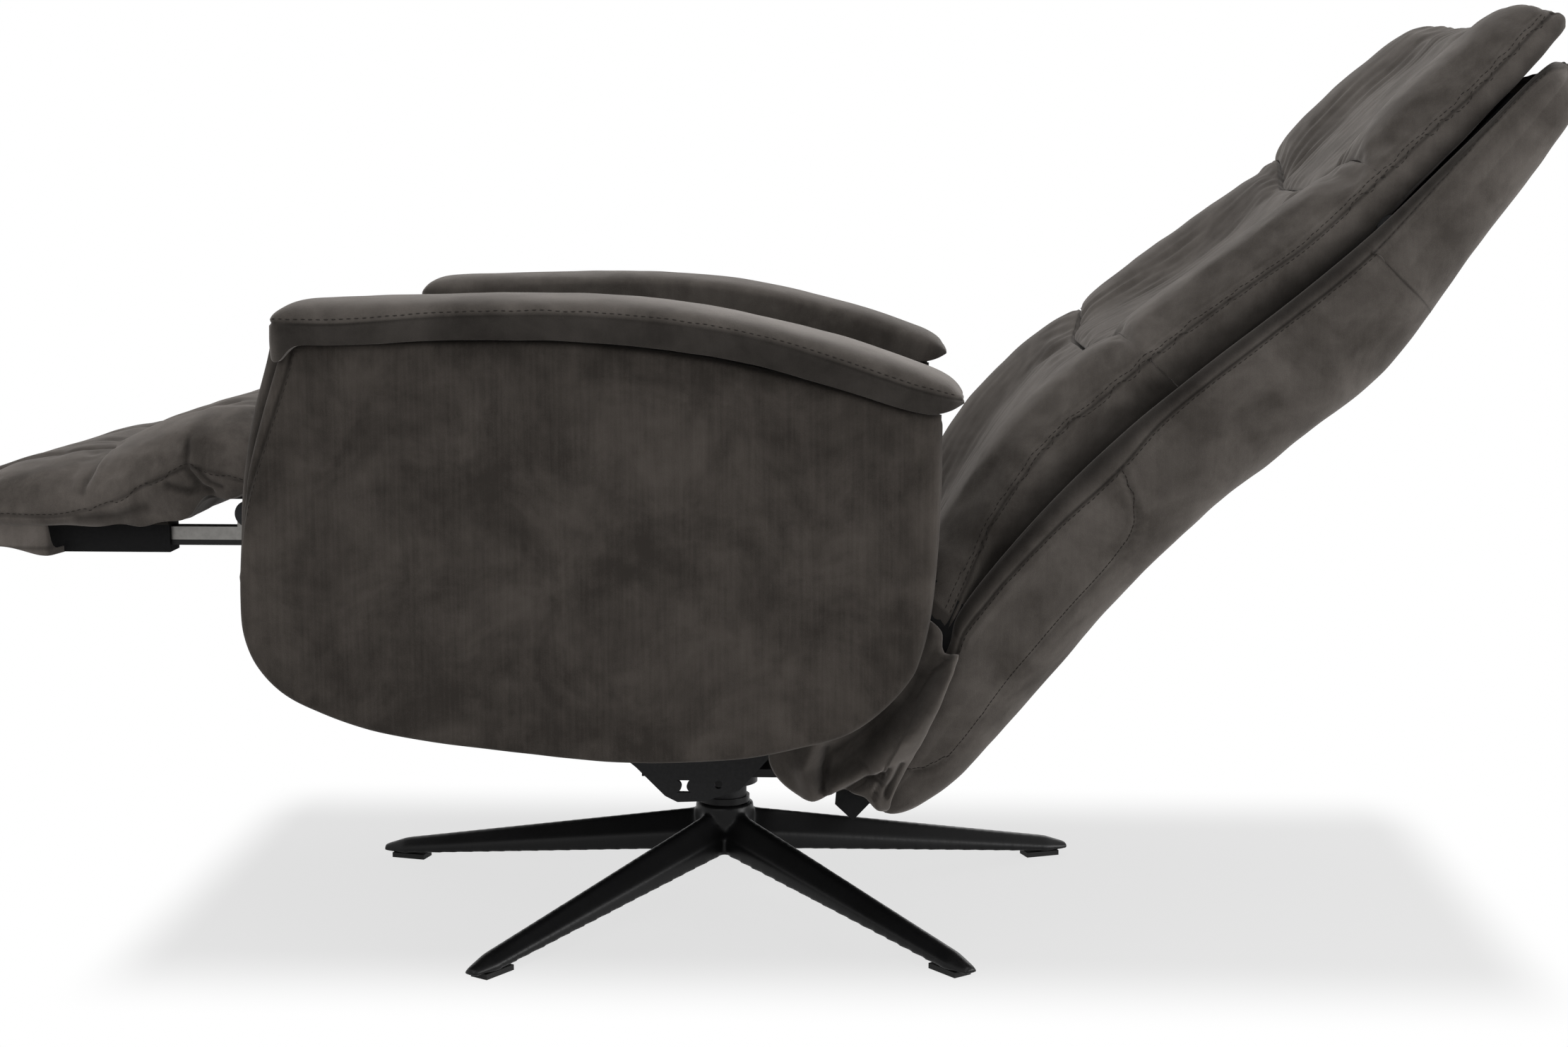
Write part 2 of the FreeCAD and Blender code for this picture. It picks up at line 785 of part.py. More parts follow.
# Chassis: everything that turns on the column and stays level
PLATE_BOTTOM = COLUMN_TOP + size("washer_height")
PLATE_TOP = PLATE_BOTTOM + size("swivel_plate_height")
FRONT_TUBE = (-size("mechanism_front") - size("tube_width"), -size("mechanism_front"))
REAR_TUBE = (size("mechanism_rear"), size("mechanism_rear") + size("tube_width"))
FRONT_TUBE_HEIGHT = (FRONT_TUBE_BOTTOM, FRONT_TUBE_BOTTOM + size("tube_width"))
REAR_TUBE_HEIGHT = (REAR_TUBE_BOTTOM, REAR_TUBE_BOTTOM + size("tube_width"))
TRACK_REAR_HEIGHT = REAR_TUBE_HEIGHT[1]


def mechanism_plate(name, side):
    front = -size("mechanism_front")
    rear = size("mechanism_rear")
    low = MECHANISM_BOTTOM
    high = MECHANISM_TOP
    lobe = size("lobe_front")
    lobe_end = -lobe + size("lobe_length")
    outline = [
        (-lobe, low, None),
        (lobe_end, low + OVERRUN / 2, None),
        (lobe_end + size("slot_length"), low + size("slot_height"), None),
        (rear - size("tube_width"), PLATE_TOP + size("tube_width"), None),
        (rear, REAR_TUBE_BOTTOM - size("slot_height"), None),
        (rear, REAR_TUBE_HEIGHT[1], None),
        (rear - size("slot_height"), REAR_TUBE_HEIGHT[1], None),
        (lobe_end, high, None),
        (front, high, None),
        (front, FRONT_TUBE_BOTTOM, None),
        (-lobe * 2, PLATE_TOP + OVERRUN, None),
        (-lobe - size("slot_height"), low + size("slot_height") / 2, None),
    ]
    slot_mid = low + size("slot_height") * SLOT_RISE_SHARE
    half = size("slot_height") / 2
    slot_front = -lobe - OVERRUN
    slot_rear = slot_front + size("slot_length") / 2
    slot = [
        (slot_front, slot_mid + half, None),
        (slot_rear, slot_mid + half, half * HALF_TURN_SHARE),
        (slot_rear, slot_mid - half, None),
        (slot_front, slot_mid - half, half * HALF_TURN_SHARE),
    ]
    hole = circle_loop(ZERO, slot_mid + OVERRUN, size("tie_hole_radius"))
    low_x, high_x = side_span(side, size("mechanism_side"), size("mechanism_side") + size("mechanism_wall"))
    plate(name, CHAIR, low_x, high_x, [outline, slot, hole])


SLOT_RISE_SHARE = 1.3


def chassis_pieces():
    fit = size("swivel_fit")
    assemble("swivel_socket", CHAIR, [
        cylinder(size("socket_radius"), PLATE_BOTTOM - SOCKET_BOTTOM, (0, 0, SOCKET_BOTTOM)),
    ], [
        cylinder(size("column_radius") + fit, PLATE_BOTTOM - SOCKET_BOTTOM + OVERRUN * 2,
                 (0, 0, SOCKET_BOTTOM - OVERRUN)),
    ])
    half = size("swivel_plate_length") / 2
    inner = size("mechanism_side")
    corner_y = half - size("bolt_head_radius") * 2
    corner_x = inner - size("bolt_head_radius") * 2
    places = [(x, y) for x in (-corner_x, corner_x) for y in (-corner_y, corner_y)]
    assemble("swivel_plate", CHAIR, [
        box((-inner, inner), (-half, half), (PLATE_BOTTOM, PLATE_TOP)),
    ], [
        cylinder(size("bolt_radius") + size("bolt_fit"), size("swivel_plate_height") + OVERRUN * 2,
                 (x, y, PLATE_BOTTOM - OVERRUN)) for x, y in places
    ])
    for name, side in SIDES.items():
        mechanism_plate(f"mechanism_plate_{name}", side)
    side_reach = CHASSIS_SIDE
    for label, tube, height in (("cross_tube_front", FRONT_TUBE, FRONT_TUBE_HEIGHT),
                                ("cross_tube_rear", REAR_TUBE, REAR_TUBE_HEIGHT)):
        wall = size("bracket_wall") / 2
        assemble(label, CHAIR, [
            box((-side_reach, side_reach), tube, height),
        ], [
            box((-side_reach - OVERRUN, side_reach + OVERRUN), (tube[0] + wall, tube[1] - wall),
                (height[0] + wall, height[1] - wall)),
        ])
    slope = sin_of(size("track_slope")) / cos_of(size("track_slope"))
    for name, side in SIDES.items():
        front, post = FRONT_TUBE
        rise = (size("mechanism_rear") + size("mechanism_front")) * slope
        front_rise = (size("mechanism_rear") - front) * slope
        rear_top = TRACK_REAR_HEIGHT + size("track_height") - size("tube_width") * slope
        outline = [
            (front, FRONT_TUBE_HEIGHT[1], None),
            (post, FRONT_TUBE_HEIGHT[1], None),
            (post, TRACK_REAR_HEIGHT + rise, None),
            (REAR_TUBE[0], TRACK_REAR_HEIGHT, None),
            (REAR_TUBE[1], TRACK_REAR_HEIGHT, None),
            (REAR_TUBE[1], rear_top, None),
            (front, TRACK_REAR_HEIGHT + size("track_height") + front_rise, None),
        ]
        low_x, high_x = side_span(side, TRACK_SIDE, TRACK_SIDE + size("track_width"))
        plate(f"seat_track_{name}", CHAIR, low_x, high_x, [outline])
    brackets_and_bolts(places)


def brackets_and_bolts(plate_places):
    margin = size("bracket_margin")
    brackets = []
    bolts = []
    for side in SIDES.values():
        near = CHASSIS_SIDE
        low_x, high_x = side_span(side, near, ARM_INNER)
        for tube, height in ((FRONT_TUBE, FRONT_TUBE_HEIGHT), (REAR_TUBE, REAR_TUBE_HEIGHT)):
            blank = box((low_x, high_x), (tube[0] - margin * 2, tube[1] + margin),
                        (height[0] - margin / 2, height[1] + margin / 2))
            spots = [(tube[0] - margin, height[0] + margin / 2), (tube[0] - margin, height[1] - margin / 2)]
            holes = []
            for y, z in spots:
                hole = side_cylinder(side, size("bolt_radius") + size("bolt_fit"),
                                     near - OVERRUN, ARM_INNER + OVERRUN, y, z)
                holes.append(hole)
                shank = side_cylinder(side, size("bolt_radius"), near, ARM_INNER, y, z)
                head = side_cylinder(side, size("bolt_head_radius"), near - size("bolt_head_height"), near, y, z)
                bolts.append(fused([shank, head]))
            brackets.append(drilled([blank], holes))
    for x, y in plate_places:
        shank = cylinder(size("bolt_radius"), size("swivel_plate_height"), (x, y, PLATE_BOTTOM))
        head = cylinder(size("bolt_head_radius"), size("bolt_head_height"), (x, y, PLATE_TOP))
        bolts.append(fused([shank, head]))
    group("arm_brackets", CHAIR, brackets)
    group("chassis_bolts", CHAIR, bolts)


# Arms: a timber ring between two padded panels, a border strip round it and a pad on top
def arm_corners(inset, shares=ARM_OUTLINE_SHARES):
    length = size("arm_front") + size("arm_rear") - inset * 2
    height = size("arm_top") - size("arm_bottom") - inset * 2
    front = -size("arm_front") + inset
    bottom = size("arm_bottom") + inset
    corners = []
    for along, up, bend in shares:
        radius = None if bend is None else length * bend
        corners.append((front + length * along, bottom + height * up, radius))
    return corners


def arm_wire(x, inset, shares=ARM_OUTLINE_SHARES):
    corners = []
    for y, z, radius in arm_corners(as_size(inset), shares):
        corners.append((Vector(x, y.number, z.number), radius))
    edges = []
    for index, (start, radius) in enumerate(corners):
        end = corners[(index + 1) % len(corners)][0]
        if radius is None:
            edges.append(line(start, end))
            continue
        flat_start = Vector(start.y, start.z, 0)
        flat_end = Vector(end.y, end.z, 0)
        middle = arc_middle(flat_start, flat_end, radius.number)
        edges.append(arc(start, Vector(x, middle.x, middle.y), end))
    return wire_of(edges)


def arm_panel(label, side, inner_x, outer_x):
    """A padded panel whose face away from the frame is crowned and drawn in at its edge."""
    crown = size("panel_crown").number
    edge = size("panel_edge").number
    direction = 1 if outer_x.number > inner_x.number else -1
    face = outer_x.number
    wires = [
        arm_wire(side * inner_x.number, 0),
        arm_wire(side * (face - direction * (crown + edge / 2)), 0),
        arm_wire(side * (face - direction * crown), edge / 4),
        arm_wire(side * face, edge),
    ]
    lofted(label, CHAIR, wires, True)


def arm_pad(label, side):
    length = size("pad_front") + size("pad_rear")
    height = size("arm_top") - size("arm_bottom")
    inner = ARM_INNER - size("pad_lap")
    outer = ARM_INNER + size("arm_width") + size("pad_overhang")
    middle = (inner + outer) / 2
    half_width = (outer - inner) / 2
    wires = []
    for along, under, width, band, crown in ARM_PAD_SHARES:
        y = (length * along - size("pad_front")).number
        bottom = (size("arm_bottom") + height * under + size("soft_gap")).number
        seam = bottom + size("pad_band").number * band
        top = seam + size("pad_crown").number * crown
        low_x = side * (middle - half_width * width).number
        high_x = side * (middle + half_width * width).number
        near = Vector(low_x, y, bottom)
        far = Vector(high_x, y, bottom)
        far_seam = Vector(high_x, y, seam)
        near_seam = Vector(low_x, y, seam)
        crest = Vector(side * middle.number, y, top)
        wires.append(wire_of([
            line(near, far),
            line(far, far_seam),
            arc(far_seam, crest, near_seam),
            line(near_seam, near),
        ]))
    padding = Part.makeLoft(wires, True, False)
    for shares in (ARM_OUTLINE_SHARES, ARM_BORDER_SHARES):
        arm = Part.Face(arm_wire(0, -size("soft_gap"), shares)).extrude(Vector(side * outer.number * 2, 0, 0))
        padding = padding.cut(arm)
    item = doc.addObject("Part::Feature", "Pad")
    item.Shape = padding
    keep(item, label, CHAIR)


def arm_pieces():
    for name, side in SIDES.items():
        frame_inner = ARM_INNER + size("panel_wall")
        frame_outer = ARM_INNER + size("arm_width") - size("panel_wall")
        low_x, high_x = side_span(side, frame_inner, frame_outer)
        wall = size("border_wall")
        rail = wall + size("frame_rail")
        plate(f"arm_frame_{name}", CHAIR, low_x, high_x, [arm_corners(wall + size("soft_gap")), arm_corners(rail)])
        plate(f"arm_border_{name}", CHAIR, low_x, high_x, [arm_corners(ZERO, ARM_BORDER_SHARES), arm_corners(wall)])
        arm_panel(f"arm_outer_panel_{name}", side, frame_outer, ARM_INNER + size("arm_width"))
        arm_panel(f"arm_inner_panel_{name}", side, frame_inner, ARM_INNER)
        arm_pad(f"arm_pad_{name}", side)


def control_pieces():
    """Push buttons on the inner face of the right arm, and the motors' control box."""
    front = -size("control_front")
    middle_z = CONTROL_BOTTOM + size("control_height") / 2
    face = ARM_INNER - size("control_wall")
    low_x, high_x = side_span(-1, face, ARM_INNER)
    pitch = size("control_length") / size("button_count")
    spots = [front + pitch / 2 + pitch * number for number in range(int(SIZES["button_count"]))]
    assemble("control_panel", CHAIR, [
        box((low_x, high_x), (front, front + size("control_length")),
            (CONTROL_BOTTOM, CONTROL_BOTTOM + size("control_height"))),
    ], [
        side_cylinder(-1, size("button_radius") + size("button_fit"), face - OVERRUN, ARM_INNER + OVERRUN,
                      y, middle_z) for y in spots
    ])
    names = ["back_up_button", "back_down_button", "legs_up_button", "legs_down_button"]
    for name, y in zip(names, spots):
        tip = face - size("button_proud")
        assemble(name, CHAIR, [
            side_cylinder(-1, size("button_radius"), tip, tip + size("button_height"), y, middle_z),
        ])
    box_front = -size("mechanism_front")
    half = size("control_box_width") / 2
    assemble("control_box", CHAIR, [
        box((-half, half), (box_front, box_front + size("control_box_length") / 2),
            (FRONT_TUBE_HEIGHT[0] - size("control_box_height"), FRONT_TUBE_HEIGHT[0])),
    ])


# Seat: frame, runners, webbing and cushion
RAIL_HALF = size("rail_height") / 2


def seat_point(rear_of_swivel, height):
    """A point of the chair given in the seat's own tilted frame."""
    run = rear_of_swivel - SEAT.rear
    rise = height - SEAT.height
    cosine = cos_of(SEAT.tilt)
    sine = sin_of(SEAT.tilt)
    return run * cosine + rise * sine, rise * cosine - run * sine


def seat_pieces():
    inner = size("rail_side")
    outer = inner + size("rail_width")
    tube = size("seat_tube_width")
    solids = []
    for front in (size("rail_front"), size("motor_tube_front") + tube, size("link_tube_front") + tube,
                  size("rear_tube_front") + tube):
        solids.append(box((-inner, inner), (-front, tube - front), (-RAIL_HALF, RAIL_HALF)))
    fold = seat_point(-size("fold_front"), FOLD_HEIGHT)
    motor = seat_point(-size("motor_front"), MOTOR_HEIGHT)
    leg_motor = seat_point(size("leg_motor_rear"), LEG_MOTOR_HEIGHT)
    cuts = []
    for side in SIDES.values():
        rail = side_span(side, inner, outer)
        solids.append(box(rail, (-size("rail_front"), -size("rail_rear_gap")), (-RAIL_HALF, RAIL_HALF)))
        ear = side_span(side, outer, outer + size("hinge_wall"))
        solids.append(box(ear, (-size("hinge_radius") * 3, ZERO), (-RAIL_HALF, RAIL_HALF)))
        solids.append(side_cylinder(side, size("hinge_radius"), outer, outer + size("hinge_wall"), ZERO, ZERO))
        cuts.append(side_cylinder(side, size("pin_radius") + size("column_fit"), inner - OVERRUN,
                                  outer + size("hinge_wall") + OVERRUN, ZERO, ZERO))
        lug = side_span(side, FOLD_LUG_SIDE, FOLD_LUG_SIDE + size("fold_lug_wall"))
        half = size("fold_lug_radius")
        solids.append(box(lug, (fold[0], -size("rail_front")), (fold[1] - half, fold[1] + half)))
        solids.append(side_cylinder(side, half, FOLD_LUG_SIDE,
                                    FOLD_LUG_SIDE + size("fold_lug_wall"), fold[0], fold[1]))
        cuts.append(side_cylinder(side, size("fold_pin_radius") + size("column_fit"),
                                  FOLD_LUG_SIDE - OVERRUN,
                                  FOLD_LUG_SIDE + size("fold_lug_wall") + OVERRUN, fold[0], fold[1]))
    for side, spot in ((-1, motor), (1, leg_motor)):
        for face in (-1, 1):
            start = size("motor_side") + face * (size("motor_ear_wall") / 2 + size("fork_gap"))
            end = start + face * size("lug_wall")
            near, far = (start, end) if face > 0 else (end, start)
            span = side_span(side, near, far)
            half = size("motor_ear_radius")
            solids.append(box(span, (spot[0] - half, spot[0] + half), (spot[1], -RAIL_HALF)))
            solids.append(side_cylinder(side, half, near, far, spot[0], spot[1]))
            cuts.append(side_cylinder(side, size("motor_pin_radius") + size("column_fit"), near - OVERRUN,
                                      far + OVERRUN, spot[0], spot[1]))
    assemble("seat_frame", SEAT, solids, cuts)
    hinge_pins(fold, motor, leg_motor)
    runner_pieces()
    straps = []
    for number in range(int(SIZES["strap_count"])):
        start = -size("rail_front") + size("strap_pitch") * number
        straps.append(box((-outer, outer), (start, start + size("strap_width")),
                          (RAIL_HALF, RAIL_HALF + size("strap_height"))))
    group("seat_webbing", SEAT, straps)
    seat_cushion()


def hinge_pins(fold, motor, leg_motor):
    outer = size("rail_side") + size("rail_width")
    reach = outer + size("hinge_wall") * 2 + size("hinge_gap") * 2
    pins = []
    for side in SIDES.values():
        pins.append(fused([
            side_cylinder(side, size("pin_radius"), outer - OVERRUN, reach, ZERO, ZERO),
            side_cylinder(side, size("pin_head_radius"), reach, reach + size("pin_head_height"), ZERO, ZERO),
        ]))
        near = FOLD_LUG_SIDE - size("fold_lug_wall") - OVERRUN
        far = FOLD_LUG_SIDE + size("fold_lug_wall") + OVERRUN
        pins.append(side_cylinder(side, size("fold_pin_radius"), near, far, fold[0], fold[1]))
    for side, spot in ((-1, motor), (1, leg_motor)):
        half = size("motor_ear_wall") / 2 + size("fork_gap") + size("lug_wall") + OVERRUN
        pins.append(side_cylinder(side, size("motor_pin_radius"), size("motor_side") - half,
                                  size("motor_side") + half, spot[0], spot[1]))
    group("hinge_pins", SEAT, pins)


def runner_pieces():
    """Slides under the seat rails, on the sloping tracks."""
    slope = size("track_slope")
    tangent = sin_of(slope) / cos_of(slope)
    start = -size("runner_front")
    height = TRACK_REAR_HEIGHT + size("track_height") + (size("mechanism_rear") - start) * tangent
    frame = Frame(start, height + size("slide_gap"), -slope)
    runners = []
    for side in SIDES.values():
        span = side_span(side, TRACK_SIDE, TRACK_SIDE + size("runner_width"))
        runners.append(box(span, (ZERO, size("runner_length")), (ZERO, size("runner_height"))))
    group("seat_runners", frame, runners)


def seat_cushion():
    half = SEAT_HALF_WIDTH.number
    front = -size("seat_front").number
    length = (size("seat_front") + size("seat_rear")).number
    depth = size("seat_depth").number
    wires = []
    for along, under, seam, crest in SEAT_SHARES:
        y = front + length * along
        bottom = KNEE_HEIGHT.number - depth * under
        side_z = KNEE_HEIGHT.number - depth * seam
        top = KNEE_HEIGHT.number - depth * crest
        shoulder_x = half * SEAT_SHOULDER_SHARE
        shoulder_z = side_z + (top - side_z) * SEAT_RISE_SHARE
        bulge_x = (half + shoulder_x) / 2 + (half - shoulder_x) * SEAT_BULGE_SHARE
        bulge_z = (side_z + shoulder_z) / 2 + (shoulder_z - side_z) * SEAT_BULGE_SHARE
        wires.append(wire_of([
            line(Vector(-half, y, bottom), Vector(half, y, bottom)),
            line(Vector(half, y, bottom), Vector(half, y, side_z)),
            arc(Vector(half, y, side_z), Vector(bulge_x, y, bulge_z), Vector(shoulder_x, y, shoulder_z)),
            arc(Vector(shoulder_x, y, shoulder_z), Vector(0, y, top), Vector(-shoulder_x, y, shoulder_z)),
            arc(Vector(-shoulder_x, y, shoulder_z), Vector(-bulge_x, y, bulge_z), Vector(-half, y, side_z)),
            line(Vector(-half, y, side_z), Vector(-half, y, bottom)),
        ]))
    cushion = Part.makeLoft(wires, True, False)
    under = (RAIL_HALF + size("strap_height") + size("soft_gap")).number
    below = Part.makeBox(half * 4, length * 2, depth, Vector(-half * 2, -length * 1.5, under - depth))
    below.Placement = FreeCAD.Placement(Vector(0, SEAT.rear.number, SEAT.height.number),
                                        Rotation(X_AXIS, SEAT.tilt.number))
    item = doc.addObject("Part::Feature", "Cushion")
    item.Shape = cushion.cut(below)
    keep(item, "seat_cushion", CHAIR)


SEAT_SHOULDER_SHARE = 0.78
SEAT_RISE_SHARE = 0.72
SEAT_BULGE_SHARE = 0.16


# Back: frame, board, shell, cushions and side flaps. Built along the back, then tilted with it.
POST_REAR = -size("head_pivot_depth") - size("post_depth")
POST_FRONT = -size("head_pivot_depth")


def back_pieces():
    near = POST_SIDE
    far = near + size("post_width")
    plate_near = size("rail_side") + size("rail_width") + size("hinge_wall") + size("hinge_gap")
    plate_far = plate_near + size("hinge_wall")
    half = size("hinge_radius")
    foot = size("foot_tube_width")
    solids = []
    cuts = []
    for side in SIDES.values():
        solids.append(box(side_span(side, near, far), (-POST_BOTTOM, POST_TOP),
                          (POST_REAR, POST_FRONT)))
        solids.append(box(side_span(side, far, plate_far), (-half, half), (POST_REAR, POST_FRONT)))
        solids.append(box(side_span(side, plate_near, plate_far), (-half, half), (POST_FRONT, ZERO)))
        solids.append(side_cylinder(side, half, plate_near, plate_far, ZERO, ZERO))
        cuts.append(side_cylinder(side, size("pin_radius") + size("pin_fit"), plate_near - OVERRUN,
                                  plate_far + OVERRUN, ZERO, ZERO))
        lug_far = near + size("head_lug_wall")
        pivot = HEAD_PIVOT_HEIGHT
        solids.append(box(side_span(side, near, lug_far), (POST_TOP, pivot), (POST_REAR, POST_FRONT)))
        solids.append(side_cylinder(side, size("head_lug_radius"), near, lug_far, pivot, POST_FRONT))
        cuts.append(side_cylinder(side, size("head_pin_radius") + size("column_fit"), near - OVERRUN,
                                  lug_far + OVERRUN, pivot, POST_FRONT))
    solids.append(box((-near, near), (POST_TOP - foot * 2, POST_TOP - foot),
                      (POST_REAR, POST_FRONT)))
    assemble("back_frame", BACK, solids, cuts)
    lug = -size("lug_depth")
    lug_near = size("motor_side") - size("motor_eye_wall") / 2 - size("slide_play") - size("lug_wall")
    lug_x = side_span(-1, lug_near, lug_near + size("lug_wall"))
    drop = -LUG_DROP
    assemble("back_foot_tube", BACK, [
        box((-far, far), (-POST_BOTTOM - foot, -POST_BOTTOM), (POST_REAR, POST_FRONT)),
        box(lug_x, (drop - size("lug_radius") / 2, drop + size("lug_radius") / 2), (POST_FRONT, lug)),
        side_cylinder(-1, size("lug_radius") / 2, lug_near, lug_near + size("lug_wall"), drop, lug),
    ])
    board = BOARD_HALF_WIDTH
    assemble("back_board", BACK, [
        box((-board, board), (-size("hinge_radius"), POST_TOP),
            (POST_FRONT, POST_FRONT + size("board_wall"))),
    ])
    shell_piece("back_shell", SHELL_SHARES, ZERO, BACK)
    back_cushion("lumbar_cushion", LUMBAR_SHARES)
    back_cushion("middle_cushion", MIDDLE_SHARES)
    for name, side in SIDES.items():
        corners = []
        for up, deep in FLAP_SHARES:
            corners.append((size("back_length") * up, -BOARD_DEPTH * deep, None))
        low_x, high_x = side_span(side, FLAP_SIDE, FLAP_SIDE + size("flap_wall"))
        plate(f"side_flap_{name}", BACK, low_x, high_x, [corners])


def shell_wire(along, half, front, rear, corner):
    """A U-shaped section of the shell, closed across its front."""
    slant = corner * CORNER_SHARE
    return wire_of([
        line(Vector(-half, along, front), Vector(half, along, front)),
        line(Vector(half, along, front), Vector(half, along, rear + corner)),
        arc(Vector(half, along, rear + corner), Vector(half - slant, along, rear + slant),
            Vector(half - corner, along, rear)),
        line(Vector(half - corner, along, rear), Vector(corner - half, along, rear)),
        arc(Vector(corner - half, along, rear), Vector(slant - half, along, rear + slant),
            Vector(-half, along, rear + corner)),
        line(Vector(-half, along, rear + corner), Vector(-half, along, front)),
    ])


CORNER_SHARE = 1 - math.sqrt(0.5)
SHELL_EDGE_SHARE = 0.8


def shell_piece(label, shares, lift, frame):
    """A padded tray: an outer loft with the same loft, drawn in by the walls, taken out of it."""
    length = size("back_length").number
    depth = SHELL_DEPTH.number
    wall = size("shell_wall").number
    rear_wall = size("shell_rear_wall").number
    outer = []
    inner = []
    for up, width, front, rear in shares:
        along = length * up + lift.number
        half = SHELL_HALF_WIDTH.number * width
        corner = min(size("shell_corner").number, (rear - front) * depth * SHELL_EDGE_SHARE)
        outer.append(shell_wire(along, half, -depth * front, -depth * rear, corner))
        cavity_rear = -depth * rear + rear_wall
        cavity_front = max(-depth * front, cavity_rear + rear_wall) + wall
        inner.append(shell_wire(along, half - wall, cavity_front, cavity_rear, wall / 2))
    item = doc.addObject("Part::Feature", "Shell")
    solid = Part.makeLoft(outer, True, False)
    cavity = Part.makeLoft(inner, True, False)
    if label == "back_shell":
        floor_y = length * shares[0][0] + wall * 2
        keeper = Part.makeBox(SHELL_HALF_WIDTH.number * 2, length * 2, depth * 4,
                              Vector(-SHELL_HALF_WIDTH.number, floor_y, -depth * 2))
    else:
        top_y = length * shares[-2][0] - wall
        keeper = Part.makeBox(SHELL_HALF_WIDTH.number * 2, length * 2, depth * 4,
                              Vector(-SHELL_HALF_WIDTH.number, top_y - length * 2, -depth * 2))
    hollow = solid.cut(cavity.common(keeper))
    reach = SHELL_HALF_WIDTH.number
    if label == "back_shell":
        reach = (POST_SIDE + size("post_width") + OVERRUN).number
        level = (POST_REAR - size("soft_gap")).number
        high = floor_y
    else:
        level = (-BOARD_DEPTH - size("soft_gap")).number
        high = length * 2
    way = Part.makeBox(reach * 2, high + length, depth, Vector(-reach, -length, level))
    item.Shape = hollow.cut(way)
    return keep(item, label, frame)


def back_cushion(label, shares):
    """A cushion with two side bolsters, a dished middle, a boxing strip and a rear block."""
    length = size("back_length").number
    depth = BOARD_DEPTH.number
    full = CUSHION_HALF_WIDTH.number
    inset = size("boxing_inset").number
    slant = math.tan(math.radians(size("notch_angle").number))
    pivot = HEAD_PIVOT_HEIGHT.number
    pivot_depth = size("head_pivot_depth").number
    lean = slant if shares[0][0] is None else -slant
    wires = []
    for up, crest, middle, seam, edge, width in shares:
        half = full * width
        valley = half * VALLEY_SHARE

        def place(x, deep):
            height = -depth * deep
            if up is None:
                return Vector(x, pivot + lean * (height + pivot_depth), height)
            return Vector(x, length * up, height)

        bolster = half * size("bolster_share").number
        rise = (crest + middle) / 2
        wires.append(wire_of([
            line(place(inset - half, 1), place(half - inset, 1)),
            line(place(half - inset, 1), place(half - inset, edge)),
            line(place(half - inset, edge), place(half, edge)),
            line(place(half, edge), place(half, seam)),
            arc(place(half, seam), place(bolster, crest), place(valley, rise)),
            arc(place(valley, rise), place(0, middle), place(-valley, rise)),
            arc(place(-valley, rise), place(-bolster, crest), place(-half, seam)),
            line(place(-half, seam), place(-half, edge)),
            line(place(-half, edge), place(inset - half, edge)),
            line(place(inset - half, edge), place(inset - half, 1)),
        ]))
    lofted(label, BACK, wires)


VALLEY_SHARE = 0.42


# Head section: tilts forward on the back
def head_pieces():
    near = POST_SIDE + size("head_lug_wall") + size("head_lug_gap")
    far = near + size("head_lug_wall")
    inner = POST_SIDE
    pivot = HEAD_PIVOT_HEIGHT
    low = HEAD_POST_BOTTOM
    high = HEAD_POST_TOP
    tube = size("foot_tube_width")
    solids = []
    cuts = []
    pins = []
    for side in SIDES.values():
        solids.append(box(side_span(side, near, far), (pivot, low + tube), (POST_REAR, POST_FRONT)))
        solids.append(side_cylinder(side, size("head_lug_radius"), near, far, pivot, POST_FRONT))
        solids.append(box(side_span(side, inner, near), (low, low + tube), (POST_REAR, POST_FRONT)))
        cuts.append(side_cylinder(side, size("head_pin_radius") + size("pin_fit"), near - OVERRUN,
                                  far + OVERRUN, pivot, POST_FRONT))
        pins.append(side_cylinder(side, size("head_pin_radius"), inner, far + size("head_lug_gap") * 2,
                                  pivot, POST_FRONT))
        post = side_span(side, inner - tube * 2, inner - tube)
        solids.append(box(post, (low + tube, high), (POST_REAR, POST_FRONT)))
    solids.append(box((-inner, inner), (low, low + tube), (POST_REAR, POST_FRONT)))
    solids.append(box((tube - inner, inner - tube), (high - tube, high), (POST_REAR, POST_FRONT)))
    assemble("head_frame", BACK, solids, cuts)
    group("head_pins", BACK, pins)
    board = BOARD_HALF_WIDTH - size("boxing_inset")
    assemble("head_board", BACK, [
        box((-board, board), (low, high), (POST_FRONT, POST_FRONT + size("board_wall"))),
    ])
    shell_piece("head_shell", HEAD_SHELL_SHARES, size("split_gap"), BACK)
    back_cushion("head_cushion", HEAD_SHARES)


def crank_end():
    """Where the leg motor pushes the crank of the leg rest."""
    lean = size("crank_lean")
    drop = size("crank_length")
    return -size("fold_front") - drop * sin_of(lean), FOLD_HEIGHT - drop * cos_of(lean)


